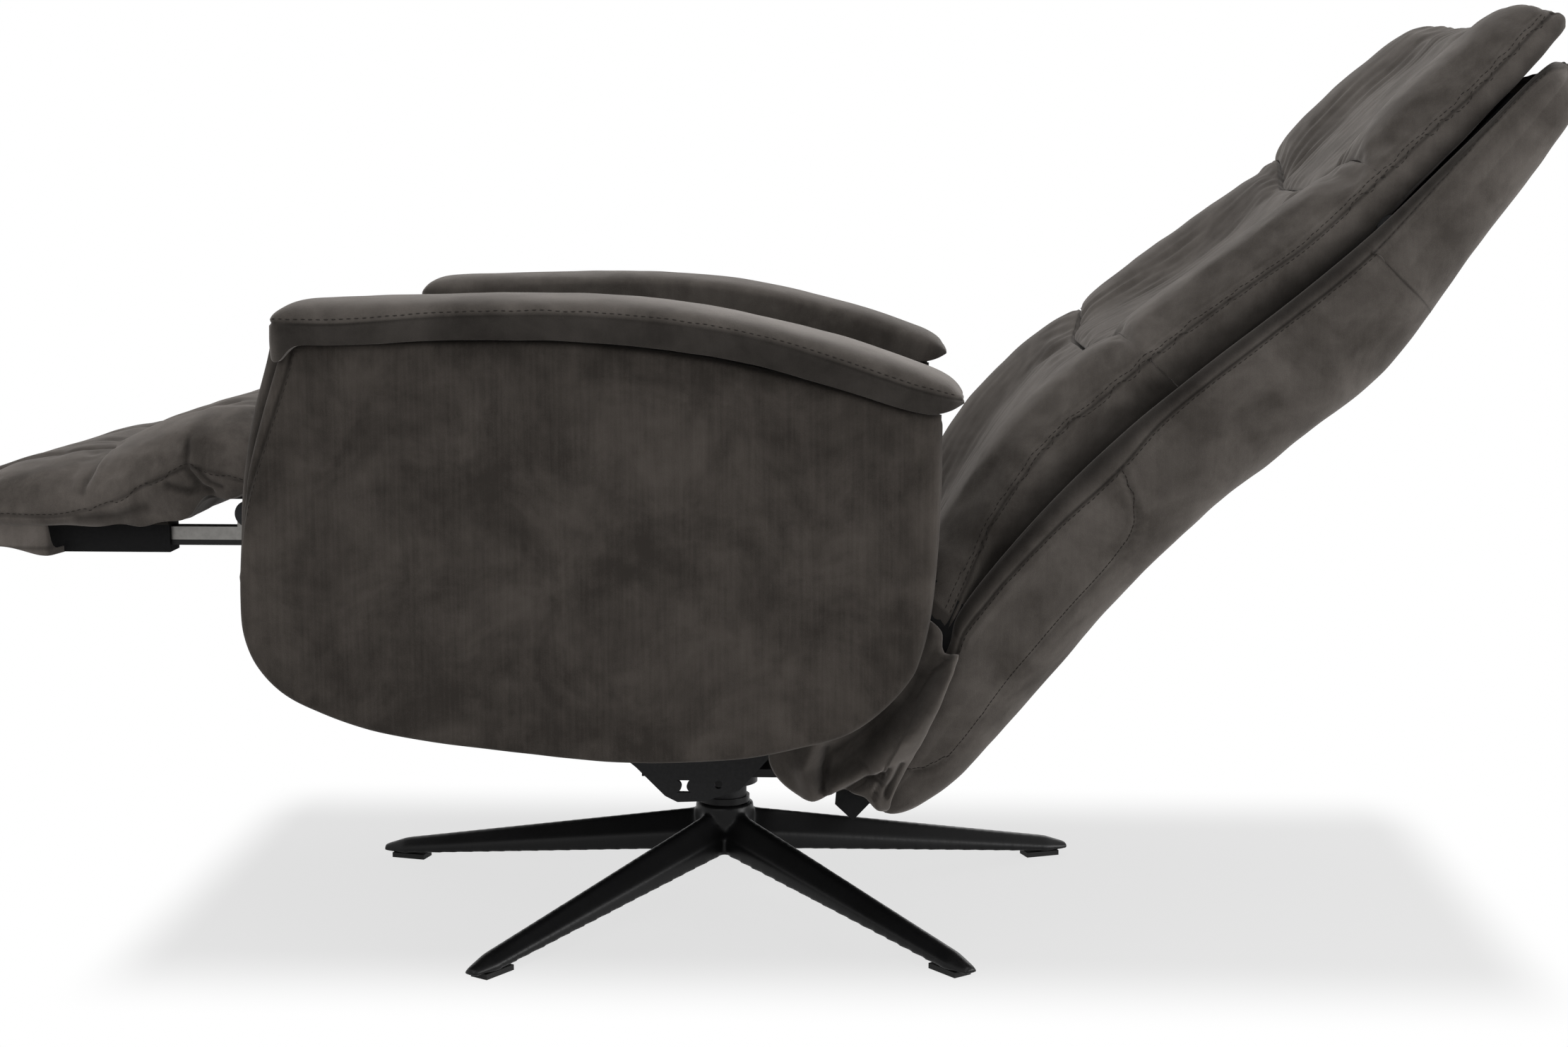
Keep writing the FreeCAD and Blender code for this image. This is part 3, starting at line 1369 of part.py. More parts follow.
# Leg rest: slides hinged to the seat, and a carriage with board, pad and valance
def leg_rest_pieces():
    inner = size("slide_side")
    outer = inner + size("slide_width")
    top = SLIDE_TOP
    low = top - size("slide_height")
    front = -size("slide_front")
    rear = -size("slide_rear")
    pivot_y = -size("fold_front")
    pivot_z = FOLD_HEIGHT
    strips = []
    slides = []
    for side in SIDES.values():
        ear_near = FOLD_LUG_SIDE - size("ear_gap") - size("fold_lug_wall")
        ear_far = ear_near + size("fold_lug_wall")
        ear = side_span(side, ear_near, ear_far)
        half = size("fold_lug_radius")
        slides.append(drilled([
            box(side_span(side, inner, outer), (front, rear), (low, top)),
            box(ear, (pivot_y - half, rear), (top - OVERRUN, pivot_z)),
            side_cylinder(side, half, ear_near, ear_far, pivot_y, pivot_z),
        ], [
            side_cylinder(side, size("fold_pin_radius") + size("pin_fit"), ear_near - OVERRUN,
                          ear_far + OVERRUN, pivot_y, pivot_z),
        ]))
        strips.append(box(side_span(side, inner, outer), (front, rear - half), (low - size("strip_height"), low)))
    group("leg_slides", CHAIR, slides)
    group("slide_strips", CHAIR, strips)
    tube_rear = rear + OVERRUN / 2
    tube_front = tube_rear - size("link_tube_depth")
    crank_near = size("motor_side") + size("motor_eye_wall") / 2 + size("slide_play")
    crank_far = crank_near + size("lug_wall")
    half = size("motor_ear_radius") / 2
    end_y, end_z = crank_end()
    tall = size("crank_length") - size("slide_height") * 2
    bar = doc.addObject("Part::Box", "Crank")
    bar.Placement = FreeCAD.Placement(Vector(0, 0, 0), Rotation(X_AXIS, -size("crank_lean").number))
    bar.setExpression("Placement.Rotation.Angle", (-size("crank_lean")).formula)
    bar.setExpression("Length", (crank_far - crank_near).formula)
    bar.setExpression("Width", (half * 2).formula)
    bar.setExpression("Height", tall.formula)
    lean = size("crank_lean")
    bind_place(bar, crank_near, end_y - half * cos_of(lean), end_z + half * sin_of(lean))
    assemble("leg_link_tube", CHAIR, [
        box((-inner, inner), (tube_front, tube_rear), (low - size("strip_height"), top - OVERRUN / 2)),
        bar,
        side_cylinder(1, half, crank_near, crank_far, end_y, end_z),
    ])
    play = size("channel_play")
    wall = size("channel_wall")
    ch_front = -size("channel_front")
    ch_rear = ch_front + size("channel_length")
    channels = []
    for side in SIDES.values():
        body = side_span(side, inner - play - wall, outer + play + wall)
        hollow = side_span(side, inner - play, outer + play)
        channels.append(drilled([
            box(body, (ch_front, ch_rear), (CHANNEL_BOTTOM, CHANNEL_TOP)),
        ], [
            box(hollow, (ch_front - OVERRUN, ch_rear + OVERRUN),
                (low - size("strip_height") - play, top + play)),
        ]))
    group("leg_channels", CHAIR, channels)
    board_top = CHANNEL_TOP + size("board_thickness")
    board = size("pad_board_side")
    board_rear = ch_rear
    assemble("leg_board", CHAIR, [
        box((-board, board), (-size("valance_front") + size("valance_wall") * 3, board_rear),
            (CHANNEL_TOP, board_top)),
    ])
    leg_pad(board_top)
    side = size("valance_side")
    cloth = size("valance_wall")
    v_front = -size("valance_front")
    v_rear = v_front + size("valance_length")
    v_low = board_top - size("valance_drop")
    assemble("leg_valance", CHAIR, [
        box((-side, side), (v_front, v_rear), (v_low, board_top)),
    ], [
        box((cloth - side, side - cloth), (v_front + cloth, v_rear + OVERRUN), (v_low - OVERRUN, board_top + OVERRUN)),
    ])


def leg_pad(board_top):
    rear = -size("rest_rear").number
    length = (size("rest_front") - size("rest_rear")).number
    bottom = board_top.number
    rise = size("rest_depth").number
    wires = []
    for along, crest, seam, width in REST_SHARES:
        y = rear - length * along
        half = size("pad_side").number * width
        top = bottom + rise * crest
        side_z = bottom + rise * seam
        shoulder = half * (1 - REST_CORNER_SHARE)
        shoulder_z = side_z + (top - side_z) * SEAT_RISE_SHARE
        bulge_x = (half + shoulder) / 2 + (half - shoulder) * SEAT_BULGE_SHARE
        bulge_z = (side_z + shoulder_z) / 2 + (shoulder_z - side_z) * SEAT_BULGE_SHARE
        wires.append(wire_of([
            line(Vector(half, y, bottom), Vector(-half, y, bottom)),
            line(Vector(-half, y, bottom), Vector(-half, y, side_z)),
            arc(Vector(-half, y, side_z), Vector(-bulge_x, y, bulge_z), Vector(-shoulder, y, shoulder_z)),
            arc(Vector(-shoulder, y, shoulder_z), Vector(0, y, top), Vector(shoulder, y, shoulder_z)),
            arc(Vector(shoulder, y, shoulder_z), Vector(bulge_x, y, bulge_z), Vector(half, y, side_z)),
            line(Vector(half, y, side_z), Vector(half, y, bottom)),
        ]))
    lofted("leg_pad", CHAIR, wires)


# Motors: each is hinged under the seat and pushes a lug; built along their own line
def motor_pieces(label, side, frame, reach, span, stroke):
    """A motor block with its tube, and the rod that slides out of it."""
    middle = size("motor_side")
    half_ear = size("motor_ear_wall") / 2
    ear = side_span(side, middle - half_ear, middle + half_ear)
    block_half = size("motor_block_width") / 2
    block = side_span(side, middle - block_half, middle + block_half)
    start = size("motor_block_start")
    end = start + size("motor_block_length")
    tall = size("motor_block_height") / 2
    centre = side * middle
    radius = size("motor_ear_radius")
    assemble(label, frame, [
        box(ear, (ZERO, start), (-radius, radius)),
        side_cylinder(side, radius, middle - half_ear, middle + half_ear, ZERO, ZERO),
        box(block, (start, end), (-tall, tall)),
        cylinder(size("motor_tube_radius"), reach - end, (centre, end, ZERO), Y_AXIS),
    ], [
        side_cylinder(side, size("motor_pin_radius") + size("pin_fit"), middle - half_ear - OVERRUN,
                      middle + half_ear + OVERRUN, ZERO, ZERO),
        cylinder(size("motor_bore_radius"), reach - start - OVERRUN * 5 + OVERRUN,
                 (centre, start + OVERRUN * 5, ZERO), Y_AXIS),
    ])
    half_eye = size("motor_eye_wall") / 2
    rod_start = start + OVERRUN * 6 + stroke
    neck = span - size("motor_neck")
    flat = size("motor_eye_radius") * EYE_FLAT_SHARE
    assemble(f"{label}_rod", frame, [
        cylinder(size("motor_rod_radius"), neck - rod_start, (centre, rod_start, ZERO), Y_AXIS),
        box(side_span(side, middle - half_eye, middle + half_eye), (neck - OVERRUN, span), (-flat, flat)),
        side_cylinder(side, size("motor_eye_radius"), middle - half_eye, middle + half_eye, span, ZERO),
    ])


EYE_FLAT_SHARE = 0.75


def drive_pieces():
    start = (-size("motor_front"), MOTOR_HEIGHT)
    end = BACK.point(-LUG_DROP, -size("lug_depth"))
    run = end[0] - start[0]
    rise = end[1] - start[1]
    frame = Frame(start[0], start[1], angle_of(rise, run))
    motor_pieces("back_motor", -1, frame, size("motor_tube_reach"), length_of(rise, run), ZERO)
    start = (size("leg_motor_rear"), LEG_MOTOR_HEIGHT)
    end = crank_end()
    run = end[0] - start[0]
    rise = end[1] - start[1]
    frame = Frame(start[0], start[1], angle_of(rise, run))
    motor_pieces("leg_motor", 1, frame, size("leg_motor_reach"), length_of(rise, run), size("leg_motor_stroke"))


base_pieces()
chassis_pieces()
arm_pieces()
control_pieces()
seat_pieces()
back_pieces()
head_pieces()
leg_rest_pieces()
drive_pieces()
doc.recompute()

for item in doc.Objects:
    if "Invalid" in item.State or "Error" in item.State:
        raise RuntimeError(f"{item.Label} failed to build: {item.State}")
for item in nodes:
    if item.Shape.isNull() or not item.Shape.isValid() or not item.Shape.Solids:
        raise RuntimeError(f"{item.Label} has no sound shape")

os.makedirs("parts", exist_ok=True)
total = FreeCAD.BoundBox()
for item in nodes:
    item.Shape.exportStep(os.path.join("parts", f"{item.Label}.step"))
    total.add(item.Shape.BoundBox)
    print(item.Label, len(item.Shape.Solids), round(item.Shape.Volume / 1000, 1), "cm3")
print(len(nodes), "nodes")
print("X", round(total.XMin, 1), round(total.XMax, 1))
print("Y", round(total.YMin, 1), round(total.YMax, 1))
print("Z", round(total.ZMin, 1), round(total.ZMax, 1))
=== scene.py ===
# %% [markdown]
# # A swivel recliner, dressed over its CAD frame
# The frame holds every solid of the chair with its true size, place and joints. This lesson
# adds what a solid modeller leaves out: padding, seams, stitches, cloth and paint. Sizes are
# typed in millimetres, because an upholsterer thinks in them, and turned into metres once.

# %% Load the frame
import json
import math

import bmesh
import bpy
from mathutils import Matrix, Vector, noise
from mathutils.bvhtree import BVHTree


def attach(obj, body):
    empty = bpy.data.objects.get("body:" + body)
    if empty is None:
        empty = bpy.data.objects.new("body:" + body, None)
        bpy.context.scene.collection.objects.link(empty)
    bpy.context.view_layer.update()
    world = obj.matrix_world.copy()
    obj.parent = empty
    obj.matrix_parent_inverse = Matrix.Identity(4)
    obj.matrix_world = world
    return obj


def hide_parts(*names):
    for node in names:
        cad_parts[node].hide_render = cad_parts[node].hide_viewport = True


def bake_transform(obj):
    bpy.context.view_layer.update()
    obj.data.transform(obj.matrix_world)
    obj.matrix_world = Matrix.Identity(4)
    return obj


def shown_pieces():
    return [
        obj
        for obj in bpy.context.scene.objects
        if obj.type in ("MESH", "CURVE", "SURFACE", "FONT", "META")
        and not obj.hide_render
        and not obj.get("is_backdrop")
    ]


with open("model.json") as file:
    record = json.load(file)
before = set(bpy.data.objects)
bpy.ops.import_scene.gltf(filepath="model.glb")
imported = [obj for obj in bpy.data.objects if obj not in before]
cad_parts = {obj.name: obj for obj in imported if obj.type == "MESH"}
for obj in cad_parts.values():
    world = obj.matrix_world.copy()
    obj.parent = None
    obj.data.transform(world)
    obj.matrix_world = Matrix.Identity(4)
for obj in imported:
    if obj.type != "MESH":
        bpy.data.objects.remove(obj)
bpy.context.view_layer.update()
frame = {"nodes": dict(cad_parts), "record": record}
MM = 0.001
SWIVEL_SHIFT = -34.0

# %% [markdown]
# Two rulers are enough for the whole chair. The first measures from the swivel: x to the
# sitter's left, y towards the back, z up. The second lies along the reclined back: up the
# back from its hinge, and out of its front face. A third helper draws a smooth line through
# a few measured places, as a batten bent round nails would.

# %% Rulers and battens
BACK_LEAN = math.radians(47)
HINGE_Y, HINGE_Z = 150.0, 370.0


def chair_point(x, y, z):
    return Vector((x * MM, (y + SWIVEL_SHIFT) * MM, z * MM))


def back_point(x, up, out):
    y = HINGE_Y + up * math.cos(BACK_LEAN) - out * math.sin(BACK_LEAN)
    z = HINGE_Z + up * math.sin(BACK_LEAN) + out * math.cos(BACK_LEAN)
    return chair_point(x, y, z)


def on_back(place):
    y = place.y / MM - SWIVEL_SHIFT - HINGE_Y
    z = place.z / MM - HINGE_Z
    up = y * math.cos(BACK_LEAN) + z * math.sin(BACK_LEAN)
    out = z * math.cos(BACK_LEAN) - y * math.sin(BACK_LEAN)
    return place.x / MM, up, out


def on_chair(place):
    """How far a place is from the middle plane, and its y and z, in millimetres."""
    return abs(place.x) / MM, place.y / MM - SWIVEL_SHIFT, place.z / MM


def batten(pairs):
    places = [float(place) for place, value in pairs]
    values = [float(value) for place, value in pairs]
    last = len(places) - 1
    slopes = []
    for i in range(last + 1):
        low, high = max(0, i - 1), min(last, i + 1)
        slopes.append((values[high] - values[low]) / (places[high] - places[low]))

    def read(x):
        x = min(max(x, places[0]), places[-1])
        i = 0
        while i < last - 1 and x > places[i + 1]:
            i += 1
        step = places[i + 1] - places[i]
        t = (x - places[i]) / step
        return (values[i] * (1 + 2 * t) * (1 - t) ** 2 + slopes[i] * step * t * (1 - t) ** 2
                + values[i + 1] * t * t * (3 - 2 * t) + slopes[i + 1] * step * t * t * (t - 1))

    return read


def ease(low, high, x):
    t = min(max((x - low) / (high - low), 0.0), 1.0)
    return t * t * (3 - 2 * t)


def peak(off, half):
    """1 where off is zero, and 0 from half on either side."""
    return max(0.0, 1.0 - abs(off) / half)


def spread(low, high, count):
    return [low + (high - low) * i / (count - 1) for i in range(count)]


def waver(a, b, c):
    return noise.noise(Vector((a, b, c)))


def ripple(place, size, seed=0.0):
    return waver(place[0] / size + seed, place[1] / size - seed, place[2] / size + 2 * seed)


def add_object(name, data):
    thing = bpy.data.objects.new(name, data)
    bpy.context.scene.collection.objects.link(thing)
    return thing


print("hinge of the back at", tuple(round(v, 4) for v in back_point(0, 0, 0)))

# %% [markdown]
# ## Camera, floor and light
# The photograph was taken from the sitter's left, a little above the arm, with a longish
# lens. Camera place and turn come from fitting the star, the arms and the back to it.

# %% Camera
CAMERA_DOWN = math.radians(7.62)
CAMERA_TURN = math.radians(-2.479)
CAMERA_PLACE = Vector((2.350, 0.1274, 0.682))
SENSOR_WIDTH, FOCAL_PIXELS, PHOTO_WIDTH = 36.0, 3398.05, 2220
camera_data = bpy.data.cameras.new("camera")
camera = add_object("camera", camera_data)
look = Vector((-math.cos(CAMERA_DOWN) * math.cos(CAMERA_TURN),
               math.cos(CAMERA_DOWN) * math.sin(CAMERA_TURN), -math.sin(CAMERA_DOWN)))
right = Vector((math.sin(CAMERA_TURN), math.cos(CAMERA_TURN), 0.0))
above = right.cross(look)
turn = Matrix((right, above, -look)).transposed()
camera.matrix_world = Matrix.Translation(CAMERA_PLACE) @ turn.to_4x4()
camera_data.sensor_width = SENSOR_WIDTH
camera_data.lens = SENSOR_WIDTH * FOCAL_PIXELS / PHOTO_WIDTH
camera_data.clip_end = 60.0
bpy.context.scene.camera = camera
bpy.context.scene.view_settings.view_transform = "Standard"
print("lens", round(camera_data.lens, 2), "mm")

# %% [markdown]
# The picture is a cut-out on white over a soft grey shadow. A white floor and a white world
# seen by the camera give the white, and they are also what paint and metal reflect. The grey
# shadow is a painted shadow: a soft-edged grey box on the floor under the chair.

# %% Small helpers for shader trees
def new_material(name):
    material = bpy.data.materials.new(name)
    material.use_nodes = True
    material.node_tree.nodes.clear()
    return material, material.node_tree


def add_node(tree, kind, plugs=None, **settings):
    """A node with its settings. Plugs gives its sockets a value each, or another node's output."""
    node = tree.nodes.new(kind)
    for word, value in settings.items():
        setattr(node, word, value)
    for socket, value in (plugs or {}).items():
        if isinstance(value, bpy.types.NodeSocket):
            tree.links.new(value, node.inputs[socket])
        else:
            node.inputs[socket].default_value = value
    return node


def calc(tree, operation, *values):
    return add_node(tree, "ShaderNodeMath", dict(enumerate(values)), operation=operation).outputs[0]


def span(tree, value, low=0.0, high=1.0, to_low=0.0, to_high=1.0, **settings):
    plugs = {"Value": value, "From Min": low, "From Max": high, "To Min": to_low, "To Max": to_high}
    return add_node(tree, "ShaderNodeMapRange", plugs, **settings).outputs[0]


def mix(tree, share, first, second, **settings):
    plugs = {"Factor": share, 6: first, 7: second}
    return add_node(tree, "ShaderNodeMix", plugs, data_type="RGBA", **settings).outputs[2]


def mix_shader(tree, share, first, second):
    plugs = {"Fac": share, 1: first.outputs[0], 2: second.outputs[0]}
    return add_node(tree, "ShaderNodeMixShader", plugs).outputs[0]


def seen_or_mirrored(tree):
    """1 for what the camera sees itself or in a shiny face, and the ray node's outputs."""
    ray = add_node(tree, "ShaderNodeLightPath").outputs
    return calc(tree, "MAXIMUM", ray["Is Camera Ray"], ray["Is Glossy Ray"]), ray


def grey(value):
    return (value, value, value, 1.0)


# %% Floor and world
FLOOR_REACH = 9.0
SHADOW_BOX = ((0, 0.0, 0.32, 0.10), (1, 0.07, 0.63, 0.045))


def painted_shadow_patch(tree, rows):
    """1 inside the box of the floor where the grey shadow is painted, and 0 outside it, with soft edges."""
    place = add_node(tree, "ShaderNodeTexCoord").outputs["Object"]
    apart = add_node(tree, "ShaderNodeSeparateXYZ", {0: place}).outputs
    masks = []
    for axis, middle, half, soft in rows:
        size = calc(tree, "ABSOLUTE", calc(tree, "SUBTRACT", apart[axis], middle))
        masks.append(span(tree, size, half - soft, half + soft, 1.0, 0.0, interpolation_type="SMOOTHSTEP"))
    return calc(tree, "MULTIPLY", *masks)


def make_floor():
    mesh = bpy.data.meshes.new("floor")
    corners = [(x * FLOOR_REACH, y * FLOOR_REACH, 0) for x, y in ((-1, -1), (1, -1), (1, 1), (-1, 1))]
    mesh.from_pydata(corners, [], [(0, 1, 2, 3)])
    floor = add_object("floor", mesh)
    material, tree = new_material("floor_white")
    patch = painted_shadow_patch(tree, SHADOW_BOX)
    paint = add_node(tree, "ShaderNodeBsdfDiffuse", {"Color": grey(0.93)})
    # Painted shadow: inside the box the camera sees a grey glow of 0.775 instead of white, and only a small
    # share of real shading.
    glow = add_node(tree, "ShaderNodeEmission", {"Color": mix(tree, patch, grey(1.0), grey(0.775))})
    share = calc(tree, "MULTIPLY", seen_or_mirrored(tree)[0], span(tree, patch, to_low=1.0, to_high=0.92))
    add_node(tree, "ShaderNodeOutputMaterial", {"Surface": mix_shader(tree, share, paint, glow)})
    mesh.materials.append(material)
    floor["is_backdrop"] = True


make_floor()
world = bpy.data.worlds.new("studio")
world.use_nodes = True
bpy.context.scene.world = world
sky = world.node_tree
sky.nodes.clear()
fill, white = [add_node(sky, "ShaderNodeBackground", {"Color": grey(1.0), "Strength": power})
               for power in (0.55, 1.0)]
seen, ray = seen_or_mirrored(sky)
through = calc(sky, "MAXIMUM", seen, ray["Is Transmission Ray"])
add_node(sky, "ShaderNodeOutputWorld", {"Surface": mix_shader(sky, through, fill, white)})

# %% [markdown]
# The cloth is lightest along the tops of the arms and quite even on the side, so the main
# lamp is a wide soft box overhead, with a weaker one behind the camera.

# %% Lamps
def soft_box(name, place, target, width, height, power):
    data = bpy.data.lights.new(name, "AREA")
    data.shape = "RECTANGLE"
    data.size = width
    data.size_y = height
    data.energy = power
    lamp = add_object(name, data)
    lamp.location = place
    lamp.rotation_euler = (Vector(target) - Vector(place)).to_track_quat("-Z", "Y").to_euler()


soft_box("overhead", (0.4, -0.2, 2.9), (0.0, 0.0, 0.4), 3.2, 3.2, 62)
soft_box("behind_camera", (3.2, -1.2, 1.7), (0.0, 0.0, 0.5), 2.2, 1.8, 34)
soft_box("far_side", (-2.8, 0.8, 1.8), (0.0, 0.1, 0.5), 2.0, 1.6, 20)
soft_box("low_rear", (0.75, 2.7, 0.5), (0.1, 0.4, 0.4), 1.8, 0.8, 46)
print("four lamps")

# %% [markdown]
# ## The cloth
# The cover is a dark velvet with a short nap. Brushed one way it is darker, the other way
# lighter, which leaves soft clouds a hand's width across, small flecks and faint upright
# streaks. One shader group gives the clouds, streaks and nap as plain values, so that each
# piece can be a little lighter or darker. Painted shade for sewn seams, folds and hidden
# places is written into a point attribute, and the group darkens the cloth there.

# %% Nap group
def start_group(name, **values):
    """A shader group with the given inputs and three outputs; also its place and input sockets."""
    group = bpy.data.node_groups.new(name, "ShaderNodeTree")
    sockets = [(word, "INPUT", value) for word, value in values.items()]
    sockets += [("Color", "OUTPUT", grey(0.0)), ("Roughness", "OUTPUT", 0.0), ("Height", "OUTPUT", 0.0)]
    for word, way, value in sockets:
        kind = "NodeSocketColor" if isinstance(value, tuple) else "NodeSocketFloat"
        socket = group.interface.new_socket(word, in_out=way, socket_type=kind)
        if way == "INPUT":
            socket.default_value = value
    place = add_node(group, "ShaderNodeTexCoord").outputs["Object"]
    return group, place, add_node(group, "NodeGroupInput").outputs


def end_group(group, color, rough, height):
    add_node(group, "NodeGroupOutput", {"Color": color, "Roughness": rough, "Height": height})
    return group


def texture(tree, place, scale, detail, **more):
    plugs = {"Vector": place, "Scale": scale, "Detail": detail, **more}
    return add_node(tree, "ShaderNodeTexNoise", plugs).outputs["Fac"]


def stretched(tree, place, scale):
    return add_node(tree, "ShaderNodeMapping", {"Vector": place, "Scale": scale}).outputs[0]


def make_nap_group():
    group, place, given = start_group("nap", Deep=grey(0.03), Pale=grey(0.09), Cloud=0.5, Streak=1.0)
    clouds = texture(group, place, 12.0, 6.0, Roughness=0.6, Distortion=0.5)
    flecks = texture(group, place, 60.0, 3.0)
    streaks = texture(group, stretched(group, place, (380.0, 380.0, 14.0)), 1.0, 2.0)
    nap = texture(group, place, 1100.0, 2.0)
    open_up = span(group, clouds, 0.28, 0.76, interpolation_type="SMOOTHSTEP")
    total = calc(group, "MULTIPLY", open_up, given["Cloud"])
    small, drawn, grain = [span(group, part, 0.3, 0.7, -half, half)
                           for part, half in ((flecks, 0.07), (streaks, 0.06), (nap, 0.05))]
    for part in (small, calc(group, "MULTIPLY", drawn, given["Streak"]), grain):
        total = calc(group, "ADD", total, part)
    share = add_node(group, "ShaderNodeClamp", {"Value": total}).outputs[0]
    tone = mix(group, share, given["Deep"], given["Pale"])
    crease_shade = add_node(group, "ShaderNodeAttribute", attribute_name="crease_shade").outputs["Fac"]
    # Painted shade: where the attribute is 1 the colour is multiplied down to 0.28.
    shade = mix(group, 1.0, tone, span(group, crease_shade, to_low=1.0, to_high=0.28), blend_type="MULTIPLY")
    rough = span(group, share, to_low=0.95, to_high=0.78)
    return end_group(group, shade, rough, calc(group, "MULTIPLY_ADD", streaks, 0.35, nap))


def dress(name, look, strength, depth, plugs):
    """A material. Look puts colour, roughness and relief in its tree, and plugs the rest."""
    material, tree = new_material(name)
    color, rough, height = look(tree)
    bump = add_node(tree, "ShaderNodeBump", {"Strength": strength, "Distance": depth, "Height": height})
    plugs = {"Base Color": color, "Roughness": rough, "Normal": bump.outputs["Normal"], **plugs}
    shader = add_node(tree, "ShaderNodeBsdfPrincipled", plugs)
    add_node(tree, "ShaderNodeOutputMaterial", {"Surface": shader.outputs[0]})
    return material


def group_look(group, values):
    def look(tree):
        given = add_node(tree, "ShaderNodeGroup", values, node_tree=group).outputs
        return given["Color"], given["Roughness"], given["Height"]

    return look


nap_group = make_nap_group()


def velvet(name, deep, pale, cloud, sheen=0.3, streak=0.25):
    nap = {"Deep": (*deep, 1.0), "Pale": (*pale, 1.0), "Cloud": cloud, "Streak": streak}
    return dress(name, group_look(nap_group, nap), 0.35, 0.0006, {
        "Specular IOR Level": 0.06, "Sheen Weight": sheen, "Sheen Roughness": 0.42,
        "Sheen Tint": (0.62, 0.58, 0.55, 1.0)})


CLOTH_DEEP = (0.033, 0.0288, 0.0255)
CLOTH_PALE = (0.104, 0.093, 0.084)
cover_cloth = velvet("cover_velvet", CLOTH_DEEP, CLOTH_PALE, 0.52, 0.3, 0.45)
arm_cloth = velvet("arm_velvet", (0.0205, 0.0177, 0.0154), (0.074, 0.064, 0.0565), 0.46, 0.1, 1.0)
# Painted light: the arm pads get a lighter copy of the cloth, for the light on their crowns.
pad_lit_cloth = velvet("pad_lit_velvet", (0.034, 0.0298, 0.0264), (0.110, 0.098, 0.088), 0.45, 0.4)
rest_cloth = velvet("rest_velvet", CLOTH_DEEP, (0.122, 0.107, 0.096), 0.5, 0.3, 0.45)
# Painted light: the valance gets a lighter copy of the cloth, for light that reaches it from below and the
# side.
valance_lit_cloth = velvet("valance_lit_velvet", (0.053, 0.0465, 0.0415), (0.168, 0.149, 0.135), 0.5, 0.3, 0.45)
thread_cloth = velvet("seam_thread", (0.014, 0.0122, 0.0108), (0.026, 0.023, 0.0205), 0.5, 0.05)
print("cloth materials ready")

# %% [markdown]
# ## Paint, steel, timber and plastic
# The star and the mechanism are satin black paint with finer and lighter specks in it. Slides
# and rods are zinc plated. What hides under the cloth still gets a finish: raw ply, black
# nylon, woven straps and textured plastic.

# %% Speckle group
def make_speckle_group():
    group, place, given = start_group("speckle", Base=grey(0.02), Fleck=grey(0.04), Scale=300.0,
                                      Smooth=0.3, Rough=0.5)
    fine = texture(group, place, given["Scale"], 3.0)
    wide = texture(group, place, 14.0, 4.0)
    lift = span(group, calc(group, "MULTIPLY", fine, wide), 0.12, 0.42)
    tone = mix(group, lift, given["Base"], given["Fleck"])
    rough = span(group, wide, to_low=given["Smooth"], to_high=given["Rough"])
    return end_group(group, tone, rough, fine)


speckle_group = make_speckle_group()


def hard_finish(name, base, fleck, scale, smooth, rough, metal=0.0, bump_depth=0.0001, shine=0.5):
    speckle = {"Base": (*base, 1.0), "Fleck": (*fleck, 1.0), "Scale": scale, "Smooth": smooth, "Rough": rough}
    return dress(name, group_look(speckle_group, speckle), 0.4, bump_depth,
                 {"Metallic": metal, "Specular IOR Level": shine})


star_paint = hard_finish("star_black", (0.0042, 0.0042, 0.0044), (0.0065, 0.0065, 0.0068), 420, 0.30, 0.42,
                         bump_depth=0.00005, shine=0.16)
frame_paint = hard_finish("frame_black", (0.0075, 0.0075, 0.008), (0.016, 0.016, 0.017), 320, 0.5, 0.68,
                          shine=0.2)
# Painted shade: a darker, duller copy of the frame paint for parts that sit in shade.
shaded_frame_paint = hard_finish("shaded_matt_black", (0.0035, 0.0035, 0.0037), (0.006, 0.006, 0.0063), 320, 0.6, 0.75,
                           shine=0.1)
zinc = hard_finish("zinc_steel", (0.142, 0.138, 0.131), (0.185, 0.18, 0.171), 240, 0.34, 0.48, metal=1.0)
nylon = hard_finish("black_nylon", (0.006, 0.006, 0.006), (0.011, 0.011, 0.011), 900, 0.55, 0.7, shine=0.2)
plastic = hard_finish("dark_plastic", (0.016, 0.016, 0.017), (0.03, 0.03, 0.031), 1500, 0.5, 0.64,
                      bump_depth=0.0002, shine=0.3)
button_plastic = hard_finish("button_grey", (0.2, 0.2, 0.205), (0.27, 0.27, 0.275), 1100, 0.36, 0.5)
board_stain = hard_finish("stained_board", (0.010, 0.0085, 0.007), (0.02, 0.017, 0.014), 160, 0.6, 0.8,
                          bump_depth=0.0003, shine=0.1)


def ramp_look(pattern, stops, rough):
    """Colour runs along a ramp as the pattern rises, and the relief follows it."""
    def look(tree):
        value = pattern(tree, add_node(tree, "ShaderNodeTexCoord").outputs["Object"])
        ramp = add_node(tree, "ShaderNodeValToRGB", {"Fac": value})
        for element, (position, color) in zip(ramp.color_ramp.elements, stops):
            element.position = position
            element.color = (*color, 1)
        return ramp.outputs["Color"], rough, value

    return look


def ply_grain(tree, place):
    return texture(tree, stretched(tree, place, (60.0, 4.0, 60.0)), 1.6, 7.0, Distortion=1.4)


def weave(tree, place):
    waves = [add_node(tree, "ShaderNodeTexWave", {"Vector": place, "Scale": 110.0}, bands_direction=way)
             for way in "XY"]
    return calc(tree, "MULTIPLY", *[wave.outputs["Fac"] for wave in waves])


PLY_STOPS = ((0.3, (0.36, 0.22, 0.11)), (0.72, (0.60, 0.44, 0.27)))
STRAP_STOPS = ((0.0, (0.02, 0.02, 0.02)), (1.0, (0.075, 0.072, 0.07)))
ply = dress("raw_ply", ramp_look(ply_grain, PLY_STOPS, 0.62), 0.4, 0.0004, {})
strap_weave = dress("woven_strap", ramp_look(weave, STRAP_STOPS, 0.85), 0.6, 0.0006, {})

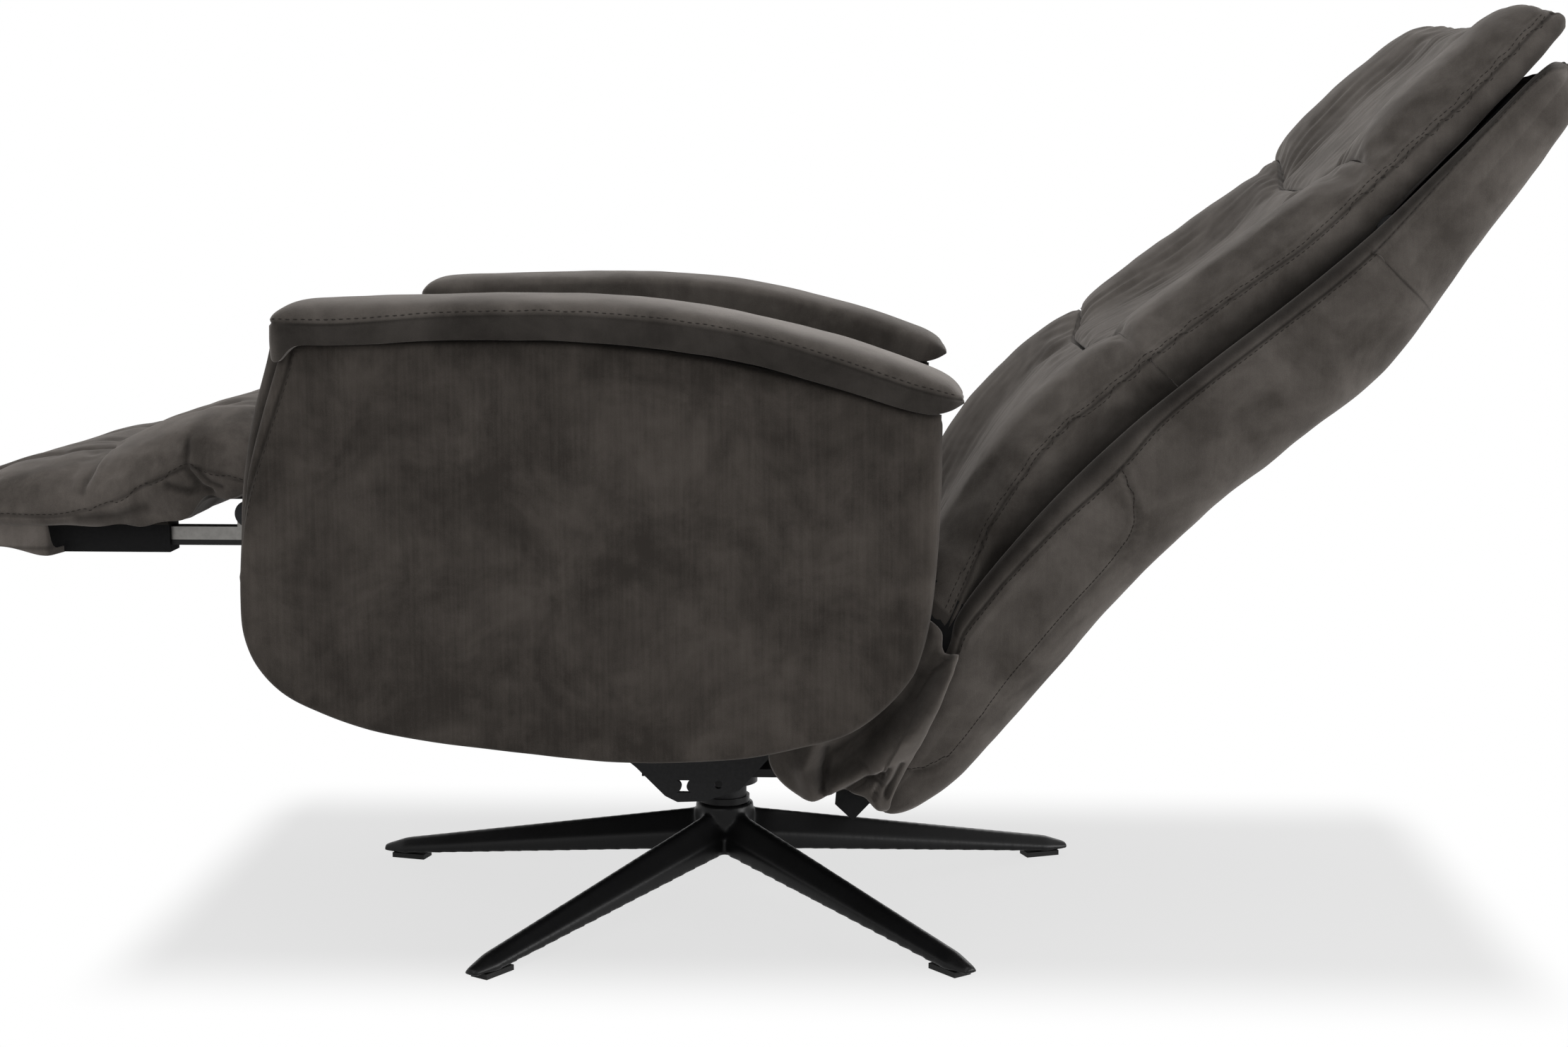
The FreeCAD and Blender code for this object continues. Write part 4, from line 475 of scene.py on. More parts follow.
# %% Paint every solid that stays in view
FINISH_OF = {
    "base_paint": star_paint, "frame_paint": frame_paint, "bright_steel": zinc, "timber": ply,
    "black_nylon": nylon, "dark_plastic": plastic, "button_plastic": button_plastic,
    "webbing": strap_weave, "upholstery": cover_cloth,
}
# Painted shade: the back frame, its foot tube, the leg channels and the hinge pins get the darker copy of the
# frame paint.
OWN_FINISH = {
    "leg_channels": shaded_frame_paint, "back_frame": shaded_frame_paint, "back_foot_tube": shaded_frame_paint,
    "hinge_pins": shaded_frame_paint, "leg_board": board_stain, "back_board": board_stain,
    "head_board": board_stain, "column_tube": frame_paint, "thrust_washer": nylon,
}
for entry in frame["record"]["subparts"]:
    solid = frame["nodes"][entry["node"]]
    solid.data.materials.clear()
    solid.data.materials.append(OWN_FINISH.get(entry["node"], FINISH_OF[entry["material_slot"]]))

# %% [markdown]
# ## Sewing tools
# Every padded part is a closed form: a top face, an under face and a strip between them,
# each a net of small squares, so seams fall on rows of the net. Cloth pressure then swells
# the net between rows that are held, the way stuffing fills a cover between its seams.

# %% Nets and pillows
MERGE = 0.00002


def smooth_faces(mesh):
    mesh.polygons.foreach_set("use_smooth", [True] * len(mesh.polygons))


def make_piece(name, verts, faces, material):
    mesh = bpy.data.meshes.new(name)
    mesh.from_pydata([tuple(v) for v in verts], [], faces)
    work = bmesh.new()
    work.from_mesh(mesh)
    bmesh.ops.remove_doubles(work, verts=work.verts, dist=MERGE)
    bmesh.ops.recalc_face_normals(work, faces=work.faces)
    work.to_mesh(mesh)
    work.free()
    smooth_faces(mesh)
    mesh.materials.append(material)
    return add_object(name, mesh)


def rim_of(rows, cols):
    rim = [(0, i) for i in range(cols)]
    rim += [(j, cols - 1) for j in range(1, rows)]
    rim += [(rows - 1, i) for i in range(cols - 2, -1, -1)]
    rim += [(j, 0) for j in range(rows - 2, 0, -1)]
    return rim


def bulging(middle, bulge):
    """A strip's place between top and under net, pushed away from the middle."""
    def place_at(high, low, t):
        place = high.lerp(low, t)
        away = place - middle
        down = low - high
        if down.length > 1e-6:
            down.normalize()
            away -= down * away.dot(down)
        if away.length > 1e-6:
            place = place + away.normalized() * bulge * MM * math.sin(math.pi * t)
        return place

    return place_at


def pillow(name, top, under, strip_rows, material, strip_bulge=0.0, strip_at=None):
    """Top net and under net of the same count, joined round the rim by a strip."""
    rows, cols = len(top), len(top[0])
    verts = [p for row in top for p in row] + [p for row in under for p in row]
    base = rows * cols
    faces = []
    for j in range(rows - 1):
        for i in range(cols - 1):
            a = j * cols + i
            faces.append((a, a + 1, a + cols + 1, a + cols))
            faces.append((base + a, base + a + cols, base + a + cols + 1, base + a + 1))
    rim = rim_of(rows, cols)
    strip_at = strip_at or bulging(sum((p for row in top for p in row), Vector()) / base, strip_bulge)
    ladder = [[j * cols + i for j, i in rim]]
    for k in range(1, strip_rows):
        ladder.append(list(range(len(verts), len(verts) + len(rim))))
        verts += [strip_at(top[j][i], under[j][i], k / strip_rows) for j, i in rim]
    ladder.append([base + j * cols + i for j, i in rim])
    for upper, lower in zip(ladder, ladder[1:]):
        for n in range(len(rim)):
            m = (n + 1) % len(rim)
            faces.append((upper[n], lower[n], lower[m], upper[m]))
    return make_piece(name, verts, faces, material)


def rings_piece(name, rings, material, close_ends=True):
    """A closed skin through a row of closed rings, with a middle point at each end."""
    count = len(rings[0])
    verts = [p for ring in rings for p in ring]
    faces = []
    for k in range(len(rings) - 1):
        for n in range(count):
            m = (n + 1) % count
            a, b = k * count, (k + 1) * count
            faces.append((a + n, a + m, b + m, b + n))
    if close_ends:
        for ring, start in ((rings[0], 0), (rings[-1], (len(rings) - 1) * count)):
            verts.append(sum(ring, Vector()) / count)
            hub = len(verts) - 1
            faces += [(start + n, start + (n + 1) % count, hub) for n in range(count)]
    return make_piece(name, verts, faces, material)


print("pillow and ring tools ready")

# %% Stuffing, smoothing and shaping
def plain_mesh(thing):
    """The mesh that the object's modifiers make."""
    graph = bpy.context.evaluated_depsgraph_get()
    graph.update()
    return bpy.data.meshes.new_from_object(thing.evaluated_get(graph))


def bake_modifiers(piece):
    finished = plain_mesh(piece)
    old = piece.data
    piece.modifiers.clear()
    piece.data = finished
    bpy.data.meshes.remove(old)
    finished.name = piece.name
    smooth_faces(finished)


def subdivide(piece):
    finish = piece.modifiers.new("finer", "SUBSURF")
    finish.levels = finish.render_levels = 1
    bake_modifiers(piece)


CLOTH_RULES = {
    "quality": 5, "mass": 0.3, "tension_stiffness": 12, "compression_stiffness": 12, "shear_stiffness": 5,
    "bending_stiffness": 0.35, "use_pressure": True,
}
CLOTH_FRAMES = 20


def stuff(piece, held, pressure, growth, cap):
    """Let cloth pressure swell the piece; held says how firmly a place stays, 0 to 1."""
    mesh = piece.data
    start = [v.co.copy() for v in mesh.vertices]
    group = piece.vertex_groups.new(name="held")
    for v in mesh.vertices:
        grip = held(v.co)
        if grip > 0.0:
            group.add([v.index], grip, "REPLACE")
    cloth = piece.modifiers.new("stuffing", "CLOTH")
    rules = cloth.settings
    for word, value in CLOTH_RULES.items():
        setattr(rules, word, value)
    rules.uniform_pressure_force = pressure
    rules.shrink_min = -growth
    rules.vertex_group_mass = "held"
    rules.effector_weights.gravity = 0.0
    cloth.point_cache.frame_start = 1
    cloth.point_cache.frame_end = CLOTH_FRAMES
    scene = bpy.context.scene
    for number in range(1, CLOTH_FRAMES + 1):
        scene.frame_set(number)
    graph = bpy.context.evaluated_depsgraph_get()
    swollen = [v.co.copy() for v in piece.evaluated_get(graph).data.vertices]
    piece.modifiers.clear()
    piece.vertex_groups.clear()
    scene.frame_set(1)
    most = 0.0
    for v, a, b in zip(mesh.vertices, start, swollen):
        move = b - a
        if move.length > cap * MM:
            move *= cap * MM / move.length
        most = max(most, move.length)
        v.co = a + move
    return most / MM


def shape(piece, push):
    """Move each vertex along its normal by push(place), in millimetres."""
    mesh = piece.data
    mesh.update()
    moves = [v.normal * push(v.co) * MM for v in mesh.vertices]
    for v, move in zip(mesh.vertices, moves):
        v.co += move
    mesh.update()


# Writes the painted shade, 0 to 1 at each point, that the nap group reads.
def paint_crease_shade(piece, depth_at):
    layer = piece.data.attributes.new("crease_shade", "FLOAT", "POINT")
    layer.data.foreach_set("value", [min(max(depth_at(v.co), 0.0), 1.0) for v in piece.data.vertices])


NECK_CUSHION = ("back", "headrest", (500, -128), (538, -128))
NECK_SHELL = ("back", "headrest", (400, -128), (488, -128))
GUSSET_FAN = ("seat", "back", (-170, -50), (-120, -140))


def settle(piece, body):
    """Ride on a body. Given a tuple for a joint, the piece only has its transform baked in and rides on no
    body; the tuple's bodies and places are not used.
    """
    if isinstance(body, tuple):
        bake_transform(piece)
    else:
        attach(piece, body)


def finish_cloth(piece, body, nodes):
    settle(piece, body)
    if nodes:
        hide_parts(*nodes)
    return piece


print("stuffing tools ready")

# %% [markdown]
# A seam shows as a dark valley with thread in it. The places of a seam are typed once as a
# line of points, laid on the finished cover by looking up the nearest spot of its skin, and
# Geometry Nodes then sew the stitches along it: the line is cut into equal steps, and each
# step gets a small lozenge of thread turned along the line.

# %% Lines laid on a cover
def near_line(points, reach):
    """How near a flat place is to a flat line: 1 on it, 0 at reach and beyond."""
    pieces = list(zip(points, points[1:]))

    def read(a, b):
        best = reach
        for (a0, b0), (a1, b1) in pieces:
            da, db = a1 - a0, b1 - b0
            size = da * da + db * db
            t = 0.0 if size == 0 else ((a - a0) * da + (b - b0) * db) / size
            t = min(max(t, 0.0), 1.0)
            best = min(best, math.hypot(a - a0 - t * da, b - b0 - t * db))
        return 1.0 - best / reach

    return read


def folds_at(folds, a, b):
    """The nearness of each fold to a place, and its size with a rounded foot."""
    readings = [(reader(a, b), size) for reader, size in folds]
    return [near for near, size in readings], [size * near * near * (3 - 2 * near) for near, size in readings]


def smooth_line(points, step=4.0):
    """Even points along a smooth curve through the given ones; any number of numbers each."""
    lengths = [0.0]
    for a, b in zip(points, points[1:]):
        lengths.append(lengths[-1] + math.dist(a, b))
    size = len(points[0])
    readers = [batten([(s, p[k]) for s, p in zip(lengths, points)]) for k in range(size)]
    count = max(2, int(lengths[-1] / step))
    return [tuple(reader(s) for reader in readers) for s in spread(0.0, lengths[-1], count)]


def lay_on(cover, places, lift=0.0):
    """Each place moved to the nearest spot of the cover, and lifted off it."""
    tree = BVHTree.FromPolygons([v.co for v in cover.data.vertices],
                                [tuple(p.vertices) for p in cover.data.polygons])
    laid = []
    for place in places:
        spot, facing, _, _ = tree.find_nearest(place)
        laid.append(spot + facing * lift * MM)
    return laid


# %% Geometry Nodes that sew
STITCH_SIZES = {"Pitch": 0.006, "Length": 0.0042, "Thickness": 0.0011}


def make_stitch_tree():
    tree = bpy.data.node_groups.new("stitches", "GeometryNodeTree")
    for word, way, kind in (("Geometry", "INPUT", "Geometry"), ("Pitch", "INPUT", "Float"),
                            ("Length", "INPUT", "Float"), ("Thickness", "INPUT", "Float"),
                            ("Thread", "INPUT", "Material"), ("Geometry", "OUTPUT", "Geometry")):
        socket = tree.interface.new_socket(word, in_out=way, socket_type="NodeSocket" + kind)
        if kind == "Float":
            socket.default_value = STITCH_SIZES[word]
    given = add_node(tree, "NodeGroupInput").outputs
    steps = add_node(tree, "GeometryNodeResampleCurve",
                     {"Curve": given["Geometry"], "Length": given["Pitch"]}, mode="LENGTH")
    tangent = add_node(tree, "GeometryNodeInputTangent")
    along = add_node(tree, "FunctionNodeAlignRotationToVector", {"Vector": tangent.outputs[0]}, axis="X")
    bead = add_node(tree, "GeometryNodeMeshUVSphere", {"Segments": 6, "Rings": 4, "Radius": 0.5})
    size = add_node(tree, "ShaderNodeCombineXYZ", {"X": given["Length"], "Y": given["Thickness"],
                                                   "Z": given["Thickness"]})
    sewn = add_node(tree, "GeometryNodeInstanceOnPoints", {
        "Points": steps.outputs[0], "Instance": bead.outputs["Mesh"], "Rotation": along.outputs[0],
        "Scale": size.outputs[0]})
    real = add_node(tree, "GeometryNodeRealizeInstances", {0: sewn.outputs[0]})
    paint = add_node(tree, "GeometryNodeSetMaterial",
                     {"Geometry": real.outputs[0], "Material": given["Thread"]})
    add_node(tree, "NodeGroupOutput", {"Geometry": paint.outputs[0]})
    return tree


stitch_tree = make_stitch_tree()


def sew(name, lines, body, pitch=6.0, length=4.3, thickness=1.1):
    """Stitches along laid lines, made one plain mesh."""
    data = bpy.data.curves.new(name + "_line", "CURVE")
    data.dimensions = "3D"
    for places in lines:
        spline = data.splines.new("POLY")
        spline.points.add(len(places) - 1)
        for point, place in zip(spline.points, places):
            point.co = (*place, 1.0)
    thing = add_object(name + "_line", data)
    sewing = thing.modifiers.new("sewing", "NODES")
    sewing.node_group = stitch_tree
    values = {"Pitch": pitch * MM, "Length": length * MM, "Thickness": thickness * MM, "Thread": thread_cloth}
    for item in stitch_tree.interface.items_tree:
        if item.in_out == "INPUT" and item.name in values:
            sewing[item.identifier] = values[item.name]
    mesh = plain_mesh(thing)
    mesh.name = name
    if not mesh.materials:
        mesh.materials.append(thread_cloth)
    bpy.data.objects.remove(thing)
    piece = add_object(name, mesh)
    smooth_faces(mesh)
    settle(piece, body)


print("sewing tree sockets", len(stitch_tree.interface.items_tree))

# %% [markdown]
# The star is one casting. Its solid has sharp edges; the casting's are all rounded and the
# legs melt into the hub. The solid is rebuilt from even small facets, and these are smoothed.

# %% Rounded casting
CAST_GRAIN, CAST_TURNS = 1.9, 18
solid = frame["nodes"]["star_base"]
cast_mesh = solid.data.copy()
cast_mesh.transform(solid.matrix_world)
cast_mesh.name = "star_casting"
star_cover = add_object("star_casting", cast_mesh)
even = star_cover.modifiers.new("even", "REMESH")
even.mode = "VOXEL"
even.voxel_size = CAST_GRAIN * MM
even.use_smooth_shade = True
soft = star_cover.modifiers.new("soft", "SMOOTH")
soft.factor = 0.5
soft.iterations = CAST_TURNS
bake_modifiers(star_cover)
star_cover.data.materials.clear()
star_cover.data.materials.append(star_paint)
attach(star_cover, "base")
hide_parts("star_base")
print("casting facets", len(star_cover.data.polygons))

# %% [markdown]
# ## The arms
# Each arm is a timber ring with a padded panel on either face, a padded border round its
# edge, and a soft pad on top. The panel's outline is round like a pebble: it is measured from
# the photograph and drawn in towards its middle ring by ring, and the face swells a little.

# %% Arm outline and panels
ARM_SIDES = {"left": 1, "right": -1}
PANEL_OUTLINE = [
    (-341, 568), (-350, 540), (-360, 508), (-369, 476), (-377, 436), (-382, 396), (-384, 351), (-382, 320),
    (-372, 294), (-350, 270), (-317, 253), (-276, 239), (-228, 230), (-168, 222), (-108, 216), (-48, 212),
    (-1, 213), (46, 217), (88, 226), (129, 238), (159, 259), (183, 287), (191, 308), (198, 343), (202, 384),
    (205, 443), (206, 508), (175, 515), (128, 529), (70, 544), (13, 556), (-46, 564), (-104, 569),
    (-163, 570), (-222, 569), (-280, 568),
]
PANEL_SHARP = {0, 26}
PANEL_EDGE_X, PANEL_FACE_X = 368.0, 383.0
LINING_EDGE_X, LINING_FACE_X = 283.0, 268.5


def even_outline(points, sharp, step):
    """Even places round a closed outline, smooth except at its sharp corners."""
    count = len(points)
    order = sorted(sharp)
    places = []
    for start, stop in zip(order, order[1:] + order[:1]):
        run = [points[(start + n) % count] for n in range((stop - start) % count + 1)]
        places += smooth_line(run, step)[:-1]
    return places


panel_ring = even_outline(PANEL_OUTLINE, PANEL_SHARP, 4.5)
PANEL_MIDDLE = (-90.0, 392.0)
PANEL_DRAW = [(1.0, 0.0), (0.9992, 0.17), (0.9975, 0.38), (0.995, 0.56), (0.9915, 0.69), (0.987, 0.80),
              (0.9825, 0.87), (0.978, 0.91), (0.9735, 0.94), (0.969, 0.96), (0.9645, 0.975), (0.96, 0.985),
              (0.955, 0.992), (0.95, 0.997), (0.945, 1.0), (0.938, 1.003), (0.93, 1.007)]
PANEL_DRAW += [(share, 1.0 + 0.11 * (1.0 - share ** 2)) for share in spread(0.915, 0.04, 34)]
FRONT_SEAM = smooth_line([(-330, 566), (-337, 540), (-347, 511), (-360, 475), (-371, 444), (-379, 410),
                          (-383, 375)], 4.0)
front_seam_near = near_line(FRONT_SEAM, 12.0)


def panel_piece(name, side, edge_x, face_x):
    def ring(x, share):
        return [chair_point(side * x, PANEL_MIDDLE[0] + (y - PANEL_MIDDLE[0]) * share,
                            PANEL_MIDDLE[1] + (z - PANEL_MIDDLE[1]) * share) for y, z in panel_ring]

    rings = [ring(edge_x, share) for share in (0.2, 0.6, 0.98)]
    rings.append([chair_point(side * edge_x, y, z) for y, z in panel_ring])
    rings += [ring(edge_x + (face_x - edge_x) * swell, share) for share, swell in PANEL_DRAW]
    piece = rings_piece(name, rings, arm_cloth)
    shape(piece, lambda p: 0.9 * ripple(p, 0.11, 3.0 + side) + 0.35 * ripple(p, 0.035, 7.0))
    return piece


def front_seam_at(p):
    """How near a place of the panel is to the sewn line along its front edge."""
    _, y, z = on_chair(p)
    return front_seam_near(y, z) if y < -310 and z > 366 else 0.0


for arm, side in ARM_SIDES.items():
    outer = panel_piece(f"arm_{arm}_outer_cover", side, PANEL_EDGE_X, PANEL_FACE_X)
    shape(outer, lambda p: 1.0 * front_seam_at(p) - 2.6 * max(0.0, front_seam_at(p) * 3.4 - 2.4)
          if abs(p.x) / MM > 374 else 0.0)
    # Painted shade along the panel's rim seam and the sewn line at its front.
    paint_crease_shade(outer, lambda p: max(0.7 * ease(372.5, 367.5, abs(p.x) / MM),
                                      0.75 * max(0.0, front_seam_at(p) * 5.0 - 4.0)))
    finish_cloth(outer, "chassis", [f"arm_outer_panel_{arm}"])
    line = [chair_point(side * 386, y, z) for y, z in FRONT_SEAM[1:-12]]
    sew(f"arm_{arm}_front_stitches", [lay_on(outer, line)], "chassis", 6.0, 4.0, 0.8)
    lining = panel_piece(f"arm_{arm}_lining", side, LINING_EDGE_X, LINING_FACE_X)
    # Painted shade along the lining's rim seam.
    paint_crease_shade(lining, lambda p: 0.7 * ease(278.5, 283.5, abs(p.x) / MM))
    finish_cloth(lining, "chassis", [f"arm_inner_panel_{arm}"])
print("panel outline places", len(panel_ring))

# %% [markdown]
# The border is a padded strip sewn between the two panels. Round most of the arm it is level
# with them, but along the front it is stuffed more and stands proud as a second roll.

# %% Padded border
BORDER_PROUD = batten([(330, 0.0), (355, 1.0), (400, 3.0), (430, 6.0), (459, 8.0), (497, 11.0), (530, 12.0),
                       (552, 13.0), (566, 15.0)])
BORDER_ACROSS = [0.0, 0.05, 0.11, 0.2, 0.32, 0.45, 0.58, 0.7, 0.8, 0.87, 0.92, 0.96, 0.985, 1.0]
BORDER_LOW, BORDER_HIGH, BORDER_WALL = LINING_EDGE_X + 0.4, PANEL_EDGE_X - 0.4, 9


def border_piece(name, side):
    def spot(t, y, z):
        return chair_point(side * (BORDER_LOW + (BORDER_HIGH - BORDER_LOW) * t), y, z)

    rings = []
    for n, (y, z) in enumerate(panel_ring):
        y0, z0 = panel_ring[n - 1]
        y1, z1 = panel_ring[(n + 1) % len(panel_ring)]
        out = Vector((z1 - z0, y0 - y1))
        out.normalize()
        if out.dot(Vector((y - PANEL_MIDDLE[0], z - PANEL_MIDDLE[1]))) < 0:
            out = -out
        proud = BORDER_PROUD(z) * (ease(-300.0, -335.0, y) * (1.0 if z < 567 else 0.0))
        ring = []
        for t in BORDER_ACROSS:
            crown = (1.0 - abs(2 * t - 1) ** 3.2)
            edge = -1.5 * (1.0 - ease(0.0, 0.05, t) * ease(1.0, 0.95, t))
            rise = edge + 2.2 * crown + proud * (1.0 - abs(2 * t - 1) ** 5)
            if (z > 560 and y > -300) or (y > 100 and z > 500):
                rise = min(rise, -3.0)
            ring.append(spot(t, y + out.x * rise, z + out.y * rise))
        back_y, back_z = y - out.x * BORDER_WALL, z - out.y * BORDER_WALL
        rings.append(ring + [spot(t, back_y, back_z) for t in (1.0, 0.5, 0.0)])
    rings.append(rings[0])
    piece = rings_piece(name, rings, arm_cloth, close_ends=False)
    shape(piece, lambda p: 0.5 * ripple(p, 0.05, 11.0))
    subdivide(piece)

    # Painted shade along the border's two edge seams and the second seam at the front.
    def seams(p):
        x, y, z = on_chair(p)
        edges = max(ease(362.0, 367.5, x), ease(289.0, 283.5, x))
        second = peak(x - 351.0, 2.2) if y < -345 and 372 < z < 552 else 0.0
        return max(0.8 * edges, 0.7 * second)

    paint_crease_shade(piece, seams)
    return piece


for arm, side in ARM_SIDES.items():
    finish_cloth(border_piece(f"arm_{arm}_border_cover", side), "chassis", [f"arm_border_{arm}"])
print("borders made")

# %% [markdown]
# The arm pad is a roll of foam over a flat band. A stitched seam runs round its outer side,
# dashes of thread show just above the seam, and the cloth puckers a little between the
# stitches. The side towards the seat is plain.

# %% Arm pads
PAD_SEAM = batten([(-350, 583), (-338, 583), (-298, 582), (-264, 584), (-216, 588), (-159, 590),
                   (-101, 590), (-43, 586), (14, 579), (71, 567), (129, 549), (158, 539), (186, 530),
                   (209, 524), (225, 520)])
PAD_CROWN = batten([(-350, 586), (-348, 590), (-344, 595), (-337, 599), (-325, 601.5), (-279, 603.5),
                    (-214, 605), (-169, 606), (-125, 606), (-65, 604), (-6, 598), (48, 588), (121, 570),
                    (154, 560), (189, 547.5), (203, 542), (215, 535), (222, 528), (225, 522.5)])
PAD_BAND = batten([(-350, 25), (-347, 31), (-340, 31), (-333, 22), (-326, 17.5), (-300, 16.5), (-200, 19),
                   (-60, 21), (60, 21), (150, 20), (190, 18), (203, 15), (215, 9), (225, 2)])
PAD_HALF = batten([(-350, 53), (-348, 59), (-344, 63), (-338, 65.2), (-326, 66), (180, 66), (205, 64),
                   (216, 59), (225, 48)])
PAD_MIDDLE_X = 329.3
PAD_PLEAT = near_line([(-337, 580), (-333, 576), (-329, 571), (-325, 566)], 4.0)
PAD_STATIONS = ([-350, -349.5, -348.4, -346.4, -343.4, -339.5, -334.5, -329.5] + spread(-324.0, 197.0, 66)
                + [202.5, 207.5, 212, 215.5, 218.5, 221, 223.2, 225])


def pad_piece(name, side):
    top, under = [], []
    for y in PAD_STATIONS:
        half, seam, crest = PAD_HALF(y), PAD_SEAM(y), PAD_CROWN(y)
        top.append([])
        under.append([])
        for angle in spread(math.pi, 0.0, 25):
            c, s = math.cos(angle), math.sin(angle)
            wide = math.copysign(abs(c) ** 0.62, c) * (1.0 + 0.02 * math.sin(2 * min(angle, math.pi - angle)))
            x = side * (PAD_MIDDLE_X + half * wide)
            top[-1].append(chair_point(x, y, seam + (crest - seam) * abs(s) ** 0.72))
            under[-1].append(chair_point(side * (PAD_MIDDLE_X + (half - 1.5) * c), y, seam - PAD_BAND(y)))
    piece = pillow(name, top, under, 5, pad_lit_cloth, 0.4)
    shape(piece, lambda p: 0.8 * ripple(p, 0.06, 21.0 + side) + 0.4 * ripple(p, 0.02, 5.0))
    subdivide(piece)

    def read(p):
        """y, z, the height above the seam, and 1 on the outer side or 0 towards the seat."""
        x, y, z = on_chair(p)
        return y, z, z - PAD_SEAM(y), ease(PAD_MIDDLE_X - 34, PAD_MIDDLE_X - 14, x)

    def pucker(p):
        y, z, up, sewn = read(p)
        swell = 1.3 * math.sin(p.y / MM / 5.2 + 3.0 * ripple(p, 0.05, 2.0))
        swell *= math.exp(-((up - 5.5) / 4.5) ** 2) * max(0.0, 0.55 + ripple(p, 0.06, 9.0))
        return (swell - 2.0 * peak(up - 0.5, 2.6)) * sewn if up > -6 else 0.0

    shape(piece, pucker)

    # Painted shade: in the seam, in the pleat at the front, and on the band below the seam where the crown
    # overhangs it.
    def crease_shade(p):
        y, z, up, sewn = read(p)
        pleat = 0.9 * max(0.0, PAD_PLEAT(y, z) * 2 - 1) if up < 0 else 0.0
        band = 0.80 * ease(1.0, -1.5, up) * (0.35 + 0.65 * ease(-346.0, -337.0, y))
        return max(0.95 * peak(up - 0.3, 2.2), band, pleat) * sewn

    paint_crease_shade(piece, crease_shade)
    return piece


for arm, side in ARM_SIDES.items():
    pad = pad_piece(f"arm_{arm}_pad_cover", side)
    finish_cloth(pad, "chassis", [f"arm_pad_{arm}"])
    loop = [chair_point(side * (PAD_MIDDLE_X + PAD_HALF(y) + 2), y, PAD_SEAM(y) + 4.6)
            for y in spread(-345.0, 216.0, 150)]
    sew(f"arm_{arm}_pad_stitches", [lay_on(pad, loop, 0.1)], "chassis", 6.4, 4.0, 1.0)
print("arm pads sewn")

# %% [markdown]
# ## Seat
# The seat is a deep cushion with a rolled front edge and a seam over the knee. Two seams run
# front to back in line with the back's bolsters, and the middle sinks a little between them.

# %% Seat cushion
SEAT_CREST = batten([(-446, 462), (-440, 476), (-430, 487), (-415, 496), (-390, 504), (-330, 508),
                     (-200, 498), (-60, 482), (60, 462), (104, 450), (126, 430)])
SEAT_SIDE = batten([(-446, 452), (-440, 452), (-421, 454), (-388, 457), (-200, 455), (-60, 446), (60, 434),
                    (104, 420), (126, 412)])
SEAT_UNDER = batten([(-446, 446), (-440, 441), (-421, 428), (-388, 417), (-310, 410.5), (-200, 404.5),
                     (-60, 398), (60, 391.5), (126, 388)])
SEAT_HALF = batten([(-446, 226), (-438, 234), (-420, 238), (-385, 241), (-350, 251), (-330, 254), (100, 254),
                    (126, 250)])
SEAT_SEAM_X, KNEE_SEAM_Y = 168.0, -330
SEAT_STATIONS = [-446, -443, -438.5, -432, -424] + spread(-415.0, 108.0, 62) + [114, 119, 123, 126]


def seat_piece():
    top, under = [], []
    for y in SEAT_STATIONS:
        half, crest, side, low = SEAT_HALF(y), SEAT_CREST(y), SEAT_SIDE(y), SEAT_UNDER(y)
        top.append([])
        under.append([])
        for angle in spread(math.pi, 0.0, 61):
            flat = math.copysign(abs(math.cos(angle)) ** 0.75, math.cos(angle))
            rise = math.sin(angle) ** 0.55
            dish = 7.0 * (1.0 - ease(0.30, 0.72, abs(flat)))
            top[-1].append(chair_point(half * flat, y, side + (crest - side) * rise - dish))
            under[-1].append(chair_point(half * flat * 0.985, y, low))
    piece = pillow("seat_cover", top, under, 5, cover_cloth, 1.0)

    def held(p):
        x, y, z = on_chair(p)
        if z < SEAT_SIDE(y) + 3:
            return 1.0
        return 0.9 if abs(x - SEAT_SEAM_X) < 5 or abs(y - KNEE_SEAM_Y) < 5 else 0.0

    print("seat swell", round(stuff(piece, held, 2.2, 0.015, 6.0), 1), "mm")
    subdivide(piece)

    def lines(p):
        x, y, z = on_chair(p)
        if z < SEAT_SIDE(y) + 6:
            return 0.0
        across = peak(y - KNEE_SEAM_Y, 7.0) * (1.0 if x < 250 else 0.0)
        along = peak(x - SEAT_SEAM_X, 7.0) * (1.0 if y > KNEE_SEAM_Y else 0.0)
        return max(across, along)

    def side_line(p):
        _, y, z = on_chair(p)
        return peak(z - SEAT_SIDE(y), 3.0)

    shape(piece, lambda p: 1.1 * ripple(p, 0.05, 31.0) - 4.0 * lines(p) ** 1.5 - 1.6 * side_line(p))
    # Painted shade in the seams across and along the top and in the side seam.
    paint_crease_shade(piece, lambda p: max(0.85 * lines(p) ** 3, 0.7 * side_line(p) ** 2))
    return piece


seat_cover = finish_cloth(seat_piece(), "seat", ["seat_cushion"])
for k, side in enumerate((-1, 1)):
    line = [chair_point(side * (SEAT_SEAM_X + 5), y, 520) for y in spread(-326, 100, 120)]
    sew(f"seat_stitches_{k + 1}", [lay_on(seat_cover, line, 0.4)], "seat")

# %% [markdown]
# ## Back and headrest
# Three cushions climb the back: lumbar, middle and head. Each has a plump bolster down either
# side and a lower middle whose cloth falls in long pleats beside the bolsters. The seams
# between cushions sag towards the seat in the middle. Below the side seam a boxing strip
# turns in to the board. The lines are heights out of the back's own face, up the back.

